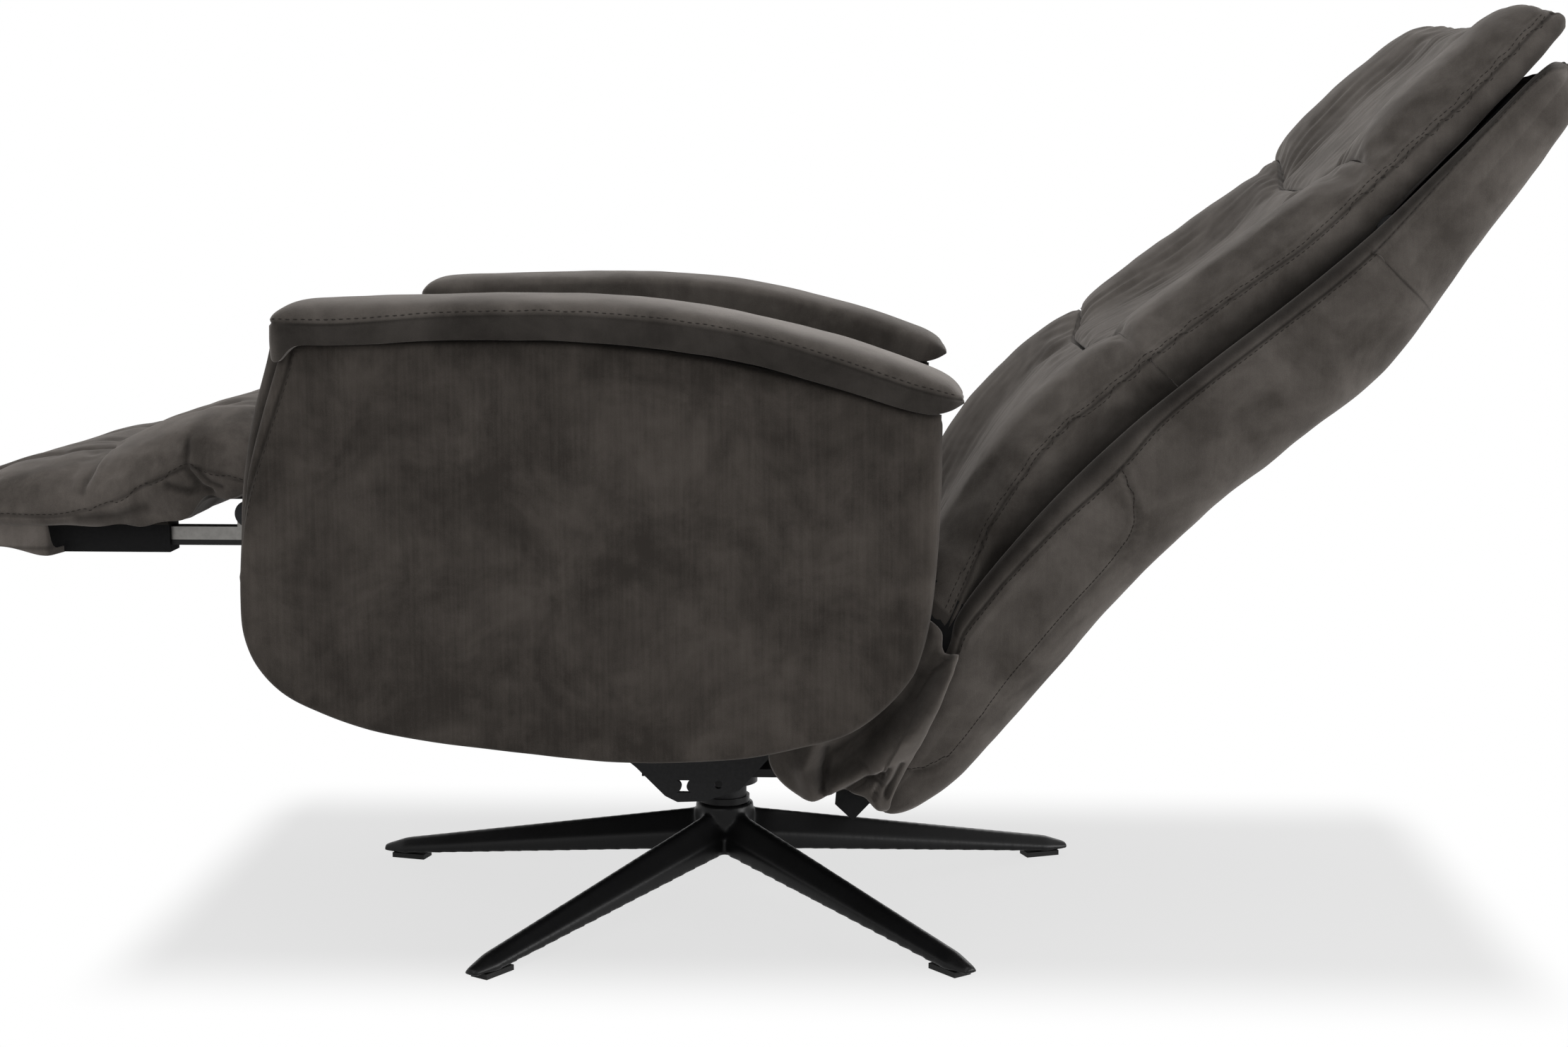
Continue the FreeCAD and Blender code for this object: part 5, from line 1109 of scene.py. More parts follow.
# %% Back lines
BACK_CREST = batten([(-7, -52), (4, -45), (20, -37), (45, -27), (82, -18), (145, -7), (185, -6), (230, -9),
                     (285, -20), (340, -28), (410, -41), (497, -58), (525, -63), (580, -59), (629, -59),
                     (684, -65), (715, -69), (732, -73), (742, -81), (748, -92)])
BACK_SEAM = batten([(-7, -93), (0, -88), (27, -78), (56, -68), (94, -54), (132, -47), (194, -42),
                    (234, -48), (292, -55), (345, -63), (402, -74), (459, -85), (540, -91), (610, -95),
                    (649, -98), (720, -99), (748, -103)])
BACK_EDGE = batten([(-7, -97), (-2, -93), (33, -83), (63, -79), (107, -75), (146, -74.5), (171, -75),
                    (219, -77), (279, -82), (345, -91.5), (400, -101), (429, -106), (506, -114),
                    (585, -118), (667, -120), (748, -119)])
BACK_HALF = batten([(-7, 259), (4, 261.5), (25, 261.5), (45, 257), (75, 251), (120, 249), (500, 249),
                    (600, 247), (660, 243), (700, 239), (722, 233), (736, 226), (744, 216), (748, 205)])
SEAM_SAG = 30.0


def seam_dip(x):
    """How far a cross seam hangs towards the seat at x: none on the bolsters, all in the middle."""
    return SEAM_SAG * (1.0 - ease(70.0, 190.0, abs(x)))


def cushion_height(x, up, dish):
    t = abs(x) / BACK_HALF(up)
    crest, seam = BACK_CREST(up), BACK_SEAM(up)
    low = dish * (1.0 - ease(0.34, 0.70, t))
    side = 0.0
    if t > 0.76:
        s = min((t - 0.76) / 0.24, 1.0)
        power = 2.0 + 3.5 * ease(60.0, 15.0, up)
        side = 1.0 - max(0.0, 1.0 - s ** power) ** (1.0 / power)
    return crest - low - (crest - seam) * side - 0.024 * x * (1.0 - side)


def boxing(high, low, t):
    """The strip below the side seam: out to the boxing's edge, then in under the cushion."""
    x, up, out = on_back(high)
    belt = back_point(x * 0.985, up, min(out - 0.5, BACK_EDGE(up)))
    if t >= 0.5:
        return belt.lerp(low, (t - 0.5) / 0.5)
    s = t / 0.5
    place = high.lerp(belt, s)
    place.x += math.copysign(2.2 * MM * math.sin(math.pi * s), x) if abs(x) > 0.9 * BACK_HALF(up) else 0.0
    if up > 730.0:
        place += back_point(0, 5.0 * math.sin(math.pi * s), 0) - back_point(0, 0, 0)
    return place


def back_cushion(name, low_line, high_line, dish, rows, end_drop):
    top, under = [], []
    for v in [0.0, 0.003, 0.01] + spread(0.0, 1.0, rows)[1:-1] + [0.99, 0.997, 1.0]:
        top.append([])
        under.append([])
        for s in spread(-1.0, 1.0, BACK_COLUMNS):
            flat = math.copysign(abs(math.sin(s * math.pi / 2)) ** 0.92, s)
            x = BACK_HALF(low_line(0) + (high_line(0) - low_line(0)) * v) * flat
            up = low_line(x) + (high_line(x) - low_line(x)) * v
            x = BACK_HALF(up) * flat
            calm = (1.0 - 0.62 * ease(105.0, 165.0, abs(x))) * (1.0 - ease(0.86, 0.97, abs(flat)))
            drop_low = end_drop[0] * math.exp(-(max(up - low_line(x), 0.0) / 9.0) ** 1.3)
            drop_high = end_drop[1] * math.exp(-(max(high_line(x) - up, 0.0) / 9.0) ** 1.3)
            out = cushion_height(x, up, dish(up)) - (drop_low + drop_high) * calm
            top[-1].append(back_point(x, up, out))
            under[-1].append(back_point(x * 0.94, up, -121.0))
    return pillow(name, top, under, 10, cover_cloth, 0.0, boxing)


def pleats(x, up, seed, start):
    """Long creases beside the bolsters, gathered at the cushion's lower seam."""
    t = abs(x)
    band = ease(6.0, 60.0, t) * (1.0 - ease(138.0, 166.0, t))
    bend = 12.0 * waver(up / 110.0, seed, x / 500.0)
    wave = math.sin((x + bend) / 2.7) + 0.7 * math.sin((x * 1.3 - bend) / 4.1 + 1.3)
    patch = 0.35 + 0.9 * waver(up / 70.0 + seed, x / 36.0, 4.0)
    near = 0.5 + 1.1 * math.exp(-max(up - start, 0.0) / 75.0)
    return band * wave * max(0.0, patch) * near


def cross_seam(up, lap):
    """A seam across the back. On the sides one cover laps over the next, in the middle it draws back."""
    return lambda x: up + lap * (-0.6 + 1.6 * ease(205.0, 235.0, abs(x))) - seam_dip(x)


def lumbar_low(x):
    return -7.0


def head_high(x):
    return 748.0 - 6.0 * ease(40.0, 250.0, abs(x))


BACK_COLUMNS = 83
lumbar_high, middle_low = cross_seam(292.0, 0.8), cross_seam(292.0, -0.8)
middle_high, head_low = cross_seam(541.0, 0.4), cross_seam(541.0, -0.4)
print("crest over the lumbar curve", round(BACK_CREST(185), 1), "mm")


# %% Three back cushions
def finish_back_cushion(name, low_line, high_line, dish, rows, ends, seed, body, node, pleat_size):
    piece = back_cushion(name, low_line, high_line, dish, rows, ends)

    def read(p):
        """x, the height up the back, out of it, out of its side seam, and the way to the cushion's end."""
        x, up, out = on_back(p)
        return x, up, out, out - BACK_SEAM(up), min(up - low_line(x), high_line(x) - up)

    def seam_share(x):
        return ease(222.0, 200.0, abs(x)) if body == "headrest" else ease(190.0, 150.0, abs(x))

    def held(p):
        x, up, out, over, near = read(p)
        if out < BACK_SEAM(up) + 1.0:
            return 1.0
        return 0.95 if near < 5.0 else 0.0

    swell = stuff(piece, held, 1.8, 0.02, 4.0)
    subdivide(piece)

    def fine(p):
        x, up, out, over, near = read(p)
        end_groove = -1.6 * max(0.0, 1.0 - near / 3.0) * seam_share(x) if over > 2 else 0.0
        slack = 0.0
        if over < -2 and out > BACK_EDGE(up) + 1:
            slack = 0.9 * math.sin((up + 0.6 * out + 16 * ripple(p, 0.06, 50.0)) / 6.0)
            slack *= max(0.0, 0.3 + 1.4 * ripple(p, 0.08, 54.0))
        folded = pleat_size * pleats(x, up, seed, low_line(x)) if over > 4 else 0.0
        return (end_groove - 1.9 * peak(over, 3.2) - 0.7 * peak(over - 8.4, 2.0) + slack + folded
                + 1.3 * ripple(p, 0.055, 41.0) + 0.5 * ripple(p, 0.02, 45.0))

    shape(piece, fine)

    # Painted shade: in the side and end seams, in the valleys of the pleats, on the boxing below the seam,
    # and darkest where the boxing turns in out of sight.
    def crease_shade(p):
        x, up, out, over, near = read(p)
        end = 0.85 * max(0.0, 1.0 - near / 2.4) * seam_share(x)
        valley = max(0.0, -pleats(x, up, seed, low_line(x))) * 0.34
        hidden = 0.9 * ease(BACK_EDGE(up) - 0.5, BACK_EDGE(up) - 5.0, out)
        shade = 0.55 * ease(BACK_SEAM(up) - 4.0, BACK_EDGE(up) + 1.0, out)
        return max(0.75 * peak(over, 2.0), end, valley, hidden, shade)

    paint_crease_shade(piece, crease_shade)
    finish_cloth(piece, body, [node])
    print(name, "swell", round(swell, 1), "mm", len(piece.data.polygons), "faces")
    return piece


LUMBAR_DISH = batten([(-7, 20), (60, 24), (150, 22), (230, 14), (262, 6), (292, 4)])
MIDDLE_DISH = batten([(262, 6), (290, 12), (350, 24), (430, 26), (480, 17), (511, 7), (541, 4)])
HEAD_DISH = batten([(511, 7), (545, 14), (600, 19), (680, 18), (725, 12), (748, 6)])
lumbar_cover = finish_back_cushion("lumbar_cover", lumbar_low, lumbar_high, LUMBAR_DISH, 48, (4.0, 4.5), 41.0,
                                   "back", "lumbar_cushion", 0.9)
middle_cover = finish_back_cushion("middle_cover", middle_low, middle_high, MIDDLE_DISH, 42, (5.5, 4.0), 57.0,
                                   NECK_CUSHION, "middle_cushion", 1.5)
head_cover = finish_back_cushion("head_cover", head_low, head_high, HEAD_DISH, 36, (6.5, 3.0), 73.0,
                                 "headrest", "head_cushion", 2.1)

# %% [markdown]
# The side seam of the back is sewn twice: a closing seam in the valley and a row of top
# stitches just inside it. The cross seams are plain.

# %% Back stitches
def side_line(side, half, out_at, low, high, count, proud=3):
    """Places just outside a cover's side, from low to high up the back."""
    return [back_point(side * (half(u) + proud), u, out_at(u)) for u in spread(low, high, count)]


for label, side in reversed(ARM_SIDES.items()):
    for cover, low, high, body, name in ((lumbar_cover, 14, 291, "back", "lumbar"),
                                         (middle_cover, 293, 540, NECK_CUSHION, "middle"),
                                         (head_cover, 542, 735, "headrest", "head")):
        lines = [lay_on(cover, side_line(side, BACK_HALF, lambda u: BACK_SEAM(u) + inset, low, high, 90))
                 for inset in (1.0, 8.4)]
        sew(f"{name}_{label}_stitches", lines, body, 5.4, 4.2, 0.8)
print("back stitched")

# %% [markdown]
# ## Outer shell
# The rear of the back is a padded shell: a skin bent round the back from one front edge to
# the other, closed like a pouch at the bottom. A piped seam runs just behind its front edge.
# Each side has a low panel with a curved seam, and the cloth gathers behind that curve.

# %% Shell lines
SHELL_LIP = batten([(-170, -152), (-160, -146), (-132, -132), (-80, -118), (-40, -108), (-7, -99), (8, -89),
                    (28, -84), (57, -80.5), (103, -77.5), (141, -76.5), (178, -77), (215, -79), (252, -82),
                    (290, -87), (333, -93), (400, -104), (450, -111), (506, -117), (585, -121), (640, -123.5),
                    (687, -126), (708, -130), (720, -136), (726, -143)])
SHELL_FRONT = batten([(-170, -154), (-160, -150), (-132, -142), (-80, -130), (-12, -110), (8, -101),
                      (44, -97), (69, -95), (132, -95), (190, -99), (216, -99), (257, -97), (305, -102),
                      (376, -113), (447, -124), (488, -128), (532, -128), (616, -127), (658, -127.5),
                      (700, -132), (726, -148)])
SHELL_REAR = batten([(-170, -158), (-167, -168), (-160, -176), (-150, -183), (-140, -187), (-104, -195),
                     (-57, -195), (-7, -192), (42, -189), (93, -186), (139, -185), (181, -186), (222, -188),
                     (261, -191), (297, -197), (336, -202), (372, -208), (410, -213), (453, -212),
                     (504, -205), (554, -197), (602, -191), (650, -185), (700, -178), (714, -170),
                     (722, -158), (726, -146)])
SHELL_HALF = batten([(-170, 214), (-164, 238), (-150, 250), (-120, 258), (-60, 265), (20, 269), (130, 271),
                     (350, 271), (488, 265), (560, 260), (640, 252), (690, 240), (710, 224), (726, 192)])
SIDE_SEAM = smooth_line([(-135, -132), (-126, -142), (-110, -160), (-84, -171), (-60, -171), (-27, -166),
                         (22, -160), (70, -156), (126, -154), (162, -151), (182, -143), (193, -130),
                         (200, -116), (206, -102)], 5.0)
side_seam_near = near_line(SIDE_SEAM, 9.0)


def shell_corner(up):
    return min(46.0, max(2.0, (SHELL_LIP(up) - SHELL_REAR(up)) * 0.55))


def shell_row(up, wall):
    """Places across the shell at one height: left front edge, round the rear, right front edge."""
    half, lip, rear = SHELL_HALF(up), SHELL_LIP(up), SHELL_REAR(up)
    corner = shell_corner(up)
    wall = min(wall, 0.35 * (lip - rear))
    half -= wall
    rear += wall
    lip -= 0.7 * wall
    flat = [(half - inset, lip - drop) for inset, drop in SHELL_EDGE]
    start = lip - 8.0
    for t in spread(0.0, 1.0, 24):
        out = min(start, lip - 5.5) + (rear + corner - start) * t
        flat.append((half - 0.4 + 2.4 * math.sin(math.pi * t) ** 0.8, out))
    for angle in spread(0.0, math.pi / 2, 10)[1:]:
        flat.append((half - corner + corner * math.cos(angle), rear + corner - corner * math.sin(angle)))
    for x in spread(half - corner, 0.0, 16)[1:]:
        flat.append((x, rear - 5.0 * (1.0 - (x / max(half - corner, 1.0)) ** 2)))
    mirrored = [(-x, out) for x, out in reversed(flat[:-1])]
    return [back_point(x, up, out) for x, out in flat + mirrored]


SHELL_EDGE = ((20, 7), (16.5, 3), (12, 0.8), (7.5, 0), (3.8, 1.6), (1.4, 4.6))
GATHER_LINE = batten([(-66, -171), (-27, -166), (22, -160), (70, -156), (126, -154), (170, -149)])
FAN_UP, FAN_OUT = -118.0, -138.0


def gather(x, up, out):
    """Folds behind the curved side seam, and a fan of short ones round the pouch's corner."""
    if abs(x) < 222:
        return 0.0
    line, rear = GATHER_LINE(up), SHELL_REAR(up) + 3.0
    behind = ease(line - 1, line - 7, out) * ease(-80, -10, up) * ease(205, 120, up)
    behind *= ease(rear, rear + 12.0, out)
    swirl = 7.0 * waver(up / 60.0, out / 30.0, 3.0)
    long_folds = math.sin((out * 1.0 + 0.10 * up + swirl) * 2 * math.pi / 10.0)
    turn = math.atan2(out - FAN_OUT, up - FAN_UP)
    reach = math.hypot(out - FAN_OUT, up - FAN_UP)
    fan = ease(6, 14, reach) * ease(52, 22, reach) * ease(line + 2, line - 8, out)
    fan *= ease(rear, rear + 9.0, out)
    fan_folds = math.sin(turn * 15.0 + swirl * 0.3)
    strong = max(0.0, 0.7 + 0.9 * waver(up / 26.0, 8.0, out / 60.0))
    return (1.8 * long_folds * behind + 1.6 * fan_folds * fan) * strong


def is_lining(x, up, out):
    """True for a place more than 5 mm inside the shell's skin."""
    corner = shell_corner(up)
    across = max(0.0, abs(x) - SHELL_HALF(up) + corner)
    deep = max(0.0, SHELL_REAR(up) + corner - out)
    return math.hypot(across, deep) < corner - 5.0


def shell_piece(name, heights):
    skin, lining = [[shell_row(h, wall) for h in heights] for wall in (0.0, SHELL_WALL)]
    piece = pillow(name, skin, lining, 2, cover_cloth)
    subdivide(piece)

    def parts(p):
        x, up, out = on_back(p)
        piped = peak(out - SHELL_FRONT(up), 2.6) if abs(x) > SHELL_HALF(up) - 6 else 0.0
        seam = side_seam_near(up, out) if abs(x) > 225 else 0.0
        return x, up, out, piped, seam

    def fine(p):
        x, up, out, piped, seam = parts(p)
        outside = 1.0 if abs(x) > SHELL_HALF(up) - 4.0 or out < SHELL_REAR(up) + 4.0 else 0.0
        swell = 1.2 * peak(out - SHELL_FRONT(up) + 7.0, 6.0)
        dip = -2.0 * piped - 2.0 * max(0.0, seam * 3 - 2) + 0.9 * math.sin(min(seam, 0.66) / 0.66 * math.pi)
        return outside * (dip + swell * (1.0 if up > 0 else 0.0) + gather(x, up, out)
                          + 1.2 * ripple(p, 0.07, 91.0) + 0.4 * ripple(p, 0.02, 95.0))

    shape(piece, fine)

    # Painted shade: in the piped and side seams, along the neck seam, in the valleys of the folds, on the
    # front strip beside the cushions, and dark inside the skin.
    def crease_shade(p):
        x, up, out, piped, seam = parts(p)
        cross = peak(up - NECK_UP, 1.6) if out < SHELL_FRONT(up) else 0.0
        strip = 0.9 * ease(SHELL_FRONT(up) - 1.0, SHELL_LIP(up) - 4.0, out) * (1.0 if up > 0 else 0.5)
        inside = 0.9 if is_lining(x, up, out) else 0.0
        valley = 0.3 * max(0.0, -gather(x, up, out) / 2.0)
        return max(0.8 * piped, 0.35 * max(0.0, seam * 3.2 - 2.2), 0.6 * cross, inside, valley, strip)

    paint_crease_shade(piece, crease_shade)
    return piece


NECK_UP, SHELL_WALL = 488.0, 7.0
BACK_TOP, HEAD_FOOT = NECK_UP + 0.5, NECK_UP - 0.5
back_heights = [-170.0, -169.0, -167.0, -164.0, -160.0, -154.0]
back_heights += [h for h in spread(-170.0, BACK_TOP, 112)[:-1] if h > -148]
back_heights += [BACK_TOP - 2.0, BACK_TOP - 0.8, BACK_TOP]
head_heights = [HEAD_FOOT, HEAD_FOOT + 0.8, HEAD_FOOT + 2.0]
head_heights += [h for h in spread(HEAD_FOOT, 726.0, 44)[1:] if h < 700]
head_heights += [705, 710, 714.5, 718, 721, 723.5, 725.2, 726]
back_shell_cover = finish_cloth(shell_piece("back_shell_cover", back_heights), NECK_SHELL,
                                ["back_shell"])
head_shell_cover = finish_cloth(shell_piece("head_shell_cover", head_heights), "headrest",
                                ["head_shell"])
for label, side in ARM_SIDES.items():
    for cover, low, high, body, name in ((back_shell_cover, -60, 487, NECK_SHELL, "back_shell"),
                                         (head_shell_cover, 489, 700, "headrest", "head_shell")):
        places = side_line(side, SHELL_HALF, SHELL_FRONT, low, high, 120, 4)
        sew(f"{name}_{label}_stitches", [lay_on(cover, places)], body, 5.6, 4.2, 0.9)
    seam_places = [back_point(side * (SHELL_HALF(u) + 4), u, out) for u, out in SIDE_SEAM]
    sew(f"shell_{label}_seam_stitches", [lay_on(back_shell_cover, seam_places)], "back", 4.2, 4.1, 1.0)
print("shell faces", len(back_shell_cover.data.polygons), len(head_shell_cover.data.polygons))

# %% [markdown]
# Where the back meets the seat, a gusset of loose cloth closes the gap on each side. It is a
# slack fold: a bulging bag with a few deep creases running to its point.

# %% Gusset flaps
FLAP_OUTLINE = smooth_line([(-8, -110), (-25, -118), (-43, -125), (-66, -133), (-84, -140), (-104, -146),
                            (-124, -151), (-144, -159), (-154, -163), (-160, -157), (-160, -148),
                            (-161, -139), (-167, -128), (-174, -118), (-185, -112.5), (-194, -107),
                            (-200, -95), (-202, -78), (-199, -62), (-190, -50), (-165, -42), (-120, -42),
                            (-80, -48), (-45, -56), (-20, -62), (-6, -68), (-4, -86), (-16, -100),
                            (-8, -110)], 3.0)[:-1]
ARM_EDGE = batten([(-218, 3), (-183, -28), (-148, -53), (-111, -75), (-75, -82), (-38, -81), (-17, -72),
                   (13, -53)])
FLAP_RIDGES = [
    (near_line([(-22, -115), (-44, -123), (-66, -127), (-90, -128), (-112, -126), (-128, -128)], 24.0), 21.0),
    (near_line([(-150, -72), (-176, -82), (-187, -102)], 19.0), 16.0),
    (near_line([(-126, -128), (-141, -120), (-157, -116), (-174, -111)], 13.0), 14.0),
    (near_line([(-142, -134), (-150, -142), (-155, -152)], 11.0), 10.0),
    (near_line([(-60, -92), (-100, -86), (-140, -74)], 12.0), 3.0),
]
FLAP_CREASES = [
    (near_line([(-124, -134), (-138, -139), (-149, -143)], 6.0), 8.0),
    (near_line([(-114, -140), (-130, -145), (-146, -151)], 5.0), 5.0),
    (near_line([(-150, -84), (-166, -94), (-178, -106)], 8.0), 7.0),
    (near_line([(-174, -122), (-160, -126), (-146, -130), (-133, -134)], 7.0), 12.0),
    (near_line([(-80, -98), (-118, -97), (-146, -92)], 9.0), 3.0),
    (near_line([(-12, -106), (-34, -104), (-62, -110)], 4.0), 1.6),
]
FLAP_VALLEY = near_line([(-175, -96), (-153, -103), (-122, -107), (-93, -107), (-65, -105), (-45, -99)], 15.0)
FLAP_BACK_X, FLAP_FACE_X, FLAP_MIDDLE = 261.4, 265.5, (-110.0, -96.0)


def flap_height(up, out):
    high = max(0.0, *folds_at(FLAP_RIDGES, up, out)[1]) - sum(folds_at(FLAP_CREASES, up, out)[1])
    outside = ease(2.0, 16.0, ARM_EDGE(up) - out)
    return FLAP_FACE_X + (high + 3.5) * outside


def flap_piece(name, side):
    rings = []
    for share, outer in [(0.05, 0), (0.5, 0), (0.93, 0)] + [(s, 1) for s in spread(0.995, 0.03, 46)]:
        rings.append([])
        for up, out in FLAP_OUTLINE:
            u = FLAP_MIDDLE[0] + (up - FLAP_MIDDLE[0]) * share
            n = FLAP_MIDDLE[1] + (out - FLAP_MIDDLE[1]) * share
            x = FLAP_BACK_X
            if outer:
                shell = 3.0 if n < SHELL_LIP(u) - 2 else 0.0
                rolled = 3.5 * (1.0 - ease(1.0, 0.96, share))
                x = flap_height(u, n) + shell - rolled - 1.0 * (1 - ease(1.0, 0.9, share))
            rings[-1].append(back_point(side * x, u, n))
    piece = rings_piece(name, rings, cover_cloth)
    shape(piece, lambda p: 1.3 * ripple(p, 0.03, 120.0) + 0.6 * ripple(p, 0.012, 125.0)
          if abs(p.x) / MM > 266 else 0.0)

    # Painted shade: in the deep creases, in the valley, and beside the arm's edge.
    def crease_shade(p):
        x, up, out = on_back(p)
        deep = max(folds_at(FLAP_CREASES, up, out)[0])
        shaded = 0.45 * ease(16.0, 4.0, ARM_EDGE(up) - out)
        return max(0.75 * max(0.0, deep - 0.3) / 0.7, shaded, 0.75 * FLAP_VALLEY(up, out))

    paint_crease_shade(piece, crease_shade)
    return piece


for label, side in ARM_SIDES.items():
    finish_cloth(flap_piece(f"gusset_{label}", side), GUSSET_FAN, [f"side_flap_{label}"])
print("gussets folded")

# %% [markdown]
# ## Leg rest
# The leg rest is a tongue of padding, thick at the knee and thin at the foot, over a board.
# A seam runs round its side, and below the seam the underside cloth hangs slack in folds.

# %% Leg rest pad
REST_CREST = batten([(-716, 404), (-712, 414), (-702, 424), (-690, 430), (-666, 439), (-638, 448),
                     (-611, 454), (-585, 459), (-566, 460), (-556, 460), (-546, 466), (-531, 474),
                     (-498, 488), (-464, 498), (-437, 504), (-420, 506), (-406, 503), (-400, 495)])
REST_SEAM = batten([(-716, 398), (-702, 401), (-632, 404), (-593, 403), (-568, 405.5), (-536, 414),
                    (-517, 422), (-504, 430), (-484, 439), (-468, 446), (-461, 450), (-452, 448),
                    (-439, 444), (-414, 437), (-400, 433)])
REST_UNDER = batten([(-716, 394), (-702, 393.5), (-640, 393.5), (-600, 393.5), (-520, 394.5), (-497, 396),
                     (-476, 399), (-463, 404), (-455, 412), (-449, 420), (-441, 423), (-429, 420),
                     (-417, 423), (-400, 428)])
REST_HALF = batten([(-716, 172), (-713, 196), (-706, 217), (-692, 234), (-672, 245), (-640, 250), (-560, 253),
                    (-470, 255), (-400, 255)])
REST_LINING = batten([(-716, 394), (-500, 395.5), (-478, 396.5), (-469, 400.5), (-461, 408), (-453, 415),
                      (-443, 417), (-428, 418.5), (-412, 423), (-400, 428)])
KNEE_LINE = near_line([(0, -566), (60, -564), (130, -555), (200, -551), (236, -553), (252, -557)], 9.0)
REST_FOLDS = [
    (near_line([(-460, 446), (-453, 437), (-447, 430), (-441, 427)], 5.0), 4.5),
    (near_line([(-478, 432), (-468, 428), (-459, 426), (-452, 428)], 6.0), 5.0),
    (near_line([(-449, 445), (-441, 436), (-430, 431)], 4.0), 2.5),
    (near_line([(-560, 402), (-530, 404), (-500, 412)], 7.0), 2.0),
]
REST_STATIONS = ([-716, -714.8, -712, -707.5, -701] + spread(-693.0, -412.0, 60) + [-408, -404, -401, -400])
REST_SEAM_X, REST_ROLL_Y = 150, -440


def rest_piece():
    top, under = [], []
    for y in REST_STATIONS:
        half, crest, seam, low = REST_HALF(y), REST_CREST(y), REST_SEAM(y), REST_UNDER(y)
        top.append([])
        under.append([])
        for angle in spread(math.pi, 0.0, 67):
            flat = math.copysign(abs(math.cos(angle)) ** 0.8, math.cos(angle))
            rise = math.sin(angle) ** 0.62
            dish = 5.0 * (1.0 - ease(0.25, 0.7, abs(flat))) * ease(-716, -670, y)
            top[-1].append(chair_point(half * flat, y, seam + (crest - seam) * rise - dish))
            under_z = REST_LINING(y) + (low - REST_LINING(y)) * ease(222.0, 234.0, abs(half * 0.96 * flat))
            under[-1].append(chair_point(half * 0.96 * flat, y, min(under_z, seam - 2)))
    piece = pillow("leg_rest_cover", top, under, 6, rest_cloth, 2.5)

    def held(p):
        x, y, z = on_chair(p)
        if z < REST_SEAM(y) + 2:
            return 1.0
        return 0.9 if abs(y + 556) < 5 or abs(x - REST_SEAM_X) < 5 else 0.0

    print("leg rest swell", round(stuff(piece, held, 1.8, 0.02, 4.0), 1), "mm")
    subdivide(piece)

    def knee(x, y, z):
        return KNEE_LINE(x, y) * ease(414, 426, z)

    def dart(x, y, z):
        return peak(y + 461, 4.0) * ease(482, 470, z) * ease(446, 450, z) if x > 215 else 0.0

    def fold(x, y, z):
        return folds_at(REST_FOLDS, y, z) if x >= 225 and z <= REST_SEAM(y) + 1 else ([0.0], [0.0])

    def fine(p):
        x, y, z = on_chair(p)
        over = z - REST_SEAM(y)
        along = -3.0 * peak(x - REST_SEAM_X, 7.0) ** 1.5 if over > 6 and y < REST_ROLL_Y else 0.0
        slack = 0.0
        if over < 0:
            slack = 1.3 * math.sin((y + 0.6 * z + 14 * ripple(p, 0.06, 33.0)) / 7.5) * ease(-600, -520, y)
        roll = 3.0 * peak(y + 542 + 0.06 * x, 14.0) * ease(414, 430, z) if over > 2 else 0.0
        return (along - 1.8 * peak(over, 3.0) + slack + roll - 4.5 * knee(x, y, z) ** 2 - 3.0 * dart(x, y, z)
                - sum(fold(x, y, z)[1]) + 1.3 * ripple(p, 0.05, 35.0) + 0.5 * ripple(p, 0.02, 37.0))

    shape(piece, fine)

    # Painted shade: in the seams, the dart and the folds, by the knee, and near black on the underside.
    def crease_shade(p):
        x, y, z = on_chair(p)
        along = peak(x - REST_SEAM_X, 3.0) if z > REST_SEAM(y) + 6 and y < REST_ROLL_Y else 0.0
        inside = z < REST_UNDER(y) + 2.0 or (y > -480 and z < REST_SEAM(y) - 4)
        lining = ease(243.0, 236.0, x) if inside else 0.0
        return max(0.75 * peak(z - REST_SEAM(y), 2.0), 0.6 * along, 0.8 * dart(x, y, z),
                   0.55 * max(0.0, 2 * knee(x, y, z) - 1), 0.7 * max(fold(x, y, z)[0]), lining)

    paint_crease_shade(piece, crease_shade)
    return piece


rest_cover = finish_cloth(rest_piece(), "legrest_carriage", ["leg_pad"])
for label, side in ARM_SIDES.items():
    places = [chair_point(side * (REST_HALF(y) + 3), y, REST_SEAM(y) + 0.6) for y in spread(-690, -402, 100)]
    sew(f"leg_rest_{label}_stitches", [lay_on(rest_cover, places)], "legrest_carriage", 5.4, 4.0, 0.8)
print("leg rest sewn")

# %% [markdown]
# Under the foot end a strip of cloth hangs round the board and hides its edge: a valance, open
# towards the chair. It is a sheet, so it is a thin skin with an even thickness, and it waves a
# little along its lower edge where nothing holds it.

# %% Valance
VALANCE_REACH, VALANCE_FRONT, VALANCE_REAR, VALANCE_CORNER = 243.5, -696.0, -595.0, 26.0
VALANCE_ROWS, VALANCE_WALL = 12, 1.6


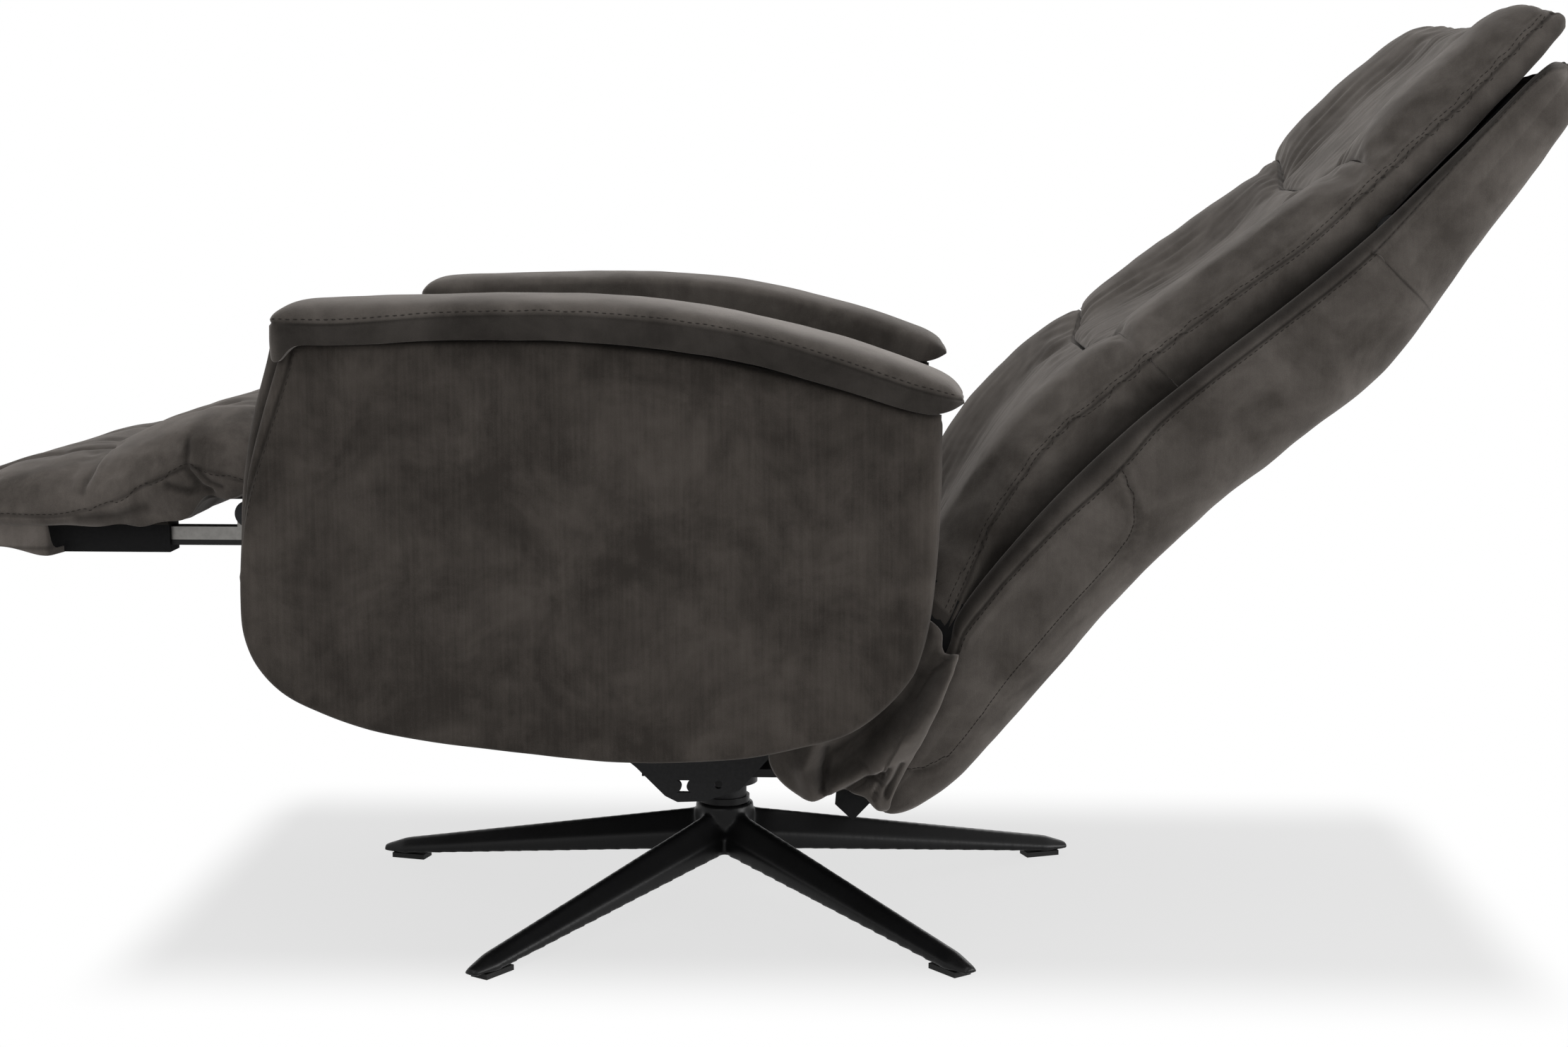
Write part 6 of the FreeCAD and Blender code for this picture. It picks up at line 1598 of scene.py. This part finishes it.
def valance_path():
    reach, corner = VALANCE_REACH - VALANCE_CORNER, VALANCE_FRONT + VALANCE_CORNER
    places = [(206.0, -588.5), (218.0, -589.5), (230.0, -590.5), (238.0, -591.5), (242.0, -592.5)]
    places += [(VALANCE_REACH, y) for y in spread(VALANCE_REAR, corner, 16)]
    for angle in spread(0.0, math.pi / 2, 8)[1:]:
        places.append((reach + VALANCE_CORNER * math.cos(angle), corner - VALANCE_CORNER * math.sin(angle)))
    places += [(x, VALANCE_FRONT) for x in spread(reach, 0.0, 30)[1:]]
    return places + [(-x, y) for x, y in reversed(places[:-1])]


def valance_piece():
    path = valance_path()
    outer, inner = [], []
    for drop in spread(0.0, 1.0, VALANCE_ROWS):
        outer.append([])
        inner.append([])
        for n, (x, y) in enumerate(path):
            x0, y0 = path[max(0, n - 1)]
            x1, y1 = path[min(len(path) - 1, n + 1)]
            out = Vector((y0 - y1, x1 - x0))
            out.normalize()
            if out.dot(Vector((x, y + 640.0))) < 0:
                out = -out
            wave = (0.3 + 1.6 * drop) * math.sin(n / 2.6 + 1.2 * math.sin(n / 7.0)) * 0.8
            wave *= ease(-592.0, -606.0, y)
            flare = 1.6 * drop * ease(-590.0, -600.0, y)
            low = 375.5 + 1.2 * math.sin(n / 4.0) - 10.0 * ease(-640.0, -594.0, y)
            high = 401.0 if abs(x) > 240 or y < -600 else 371.5 + 29.5 * ease(236.0, 243.0, abs(x))
            for row, off in ((outer, wave + flare), (inner, wave + flare - VALANCE_WALL)):
                row[-1].append(chair_point(x + out.x * off, y + out.y * off, high + (low - high) * drop))
    piece = pillow("leg_valance_cover", outer, inner, 2, valance_lit_cloth)
    subdivide(piece)
    # Painted shade: a dark band near the lower edge.
    paint_crease_shade(piece, lambda p: 0.6 * ease(0.377, 0.3735, p.z) * ease(0.370, 0.3735, p.z))
    return piece, sum(math.dist(a, b) for a, b in zip(path, path[1:]))


valance, valance_length = valance_piece()
finish_cloth(valance, "legrest_carriage", ["leg_valance"])
print("valance length", round(valance_length), "mm")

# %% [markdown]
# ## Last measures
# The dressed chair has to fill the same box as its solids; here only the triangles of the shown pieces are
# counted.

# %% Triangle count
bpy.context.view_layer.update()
meshes = [piece.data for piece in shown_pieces() if piece.type == "MESH"]
triangles = sum(len(p.vertices) - 2 for mesh in meshes for p in mesh.polygons)
print("triangles in all", triangles)
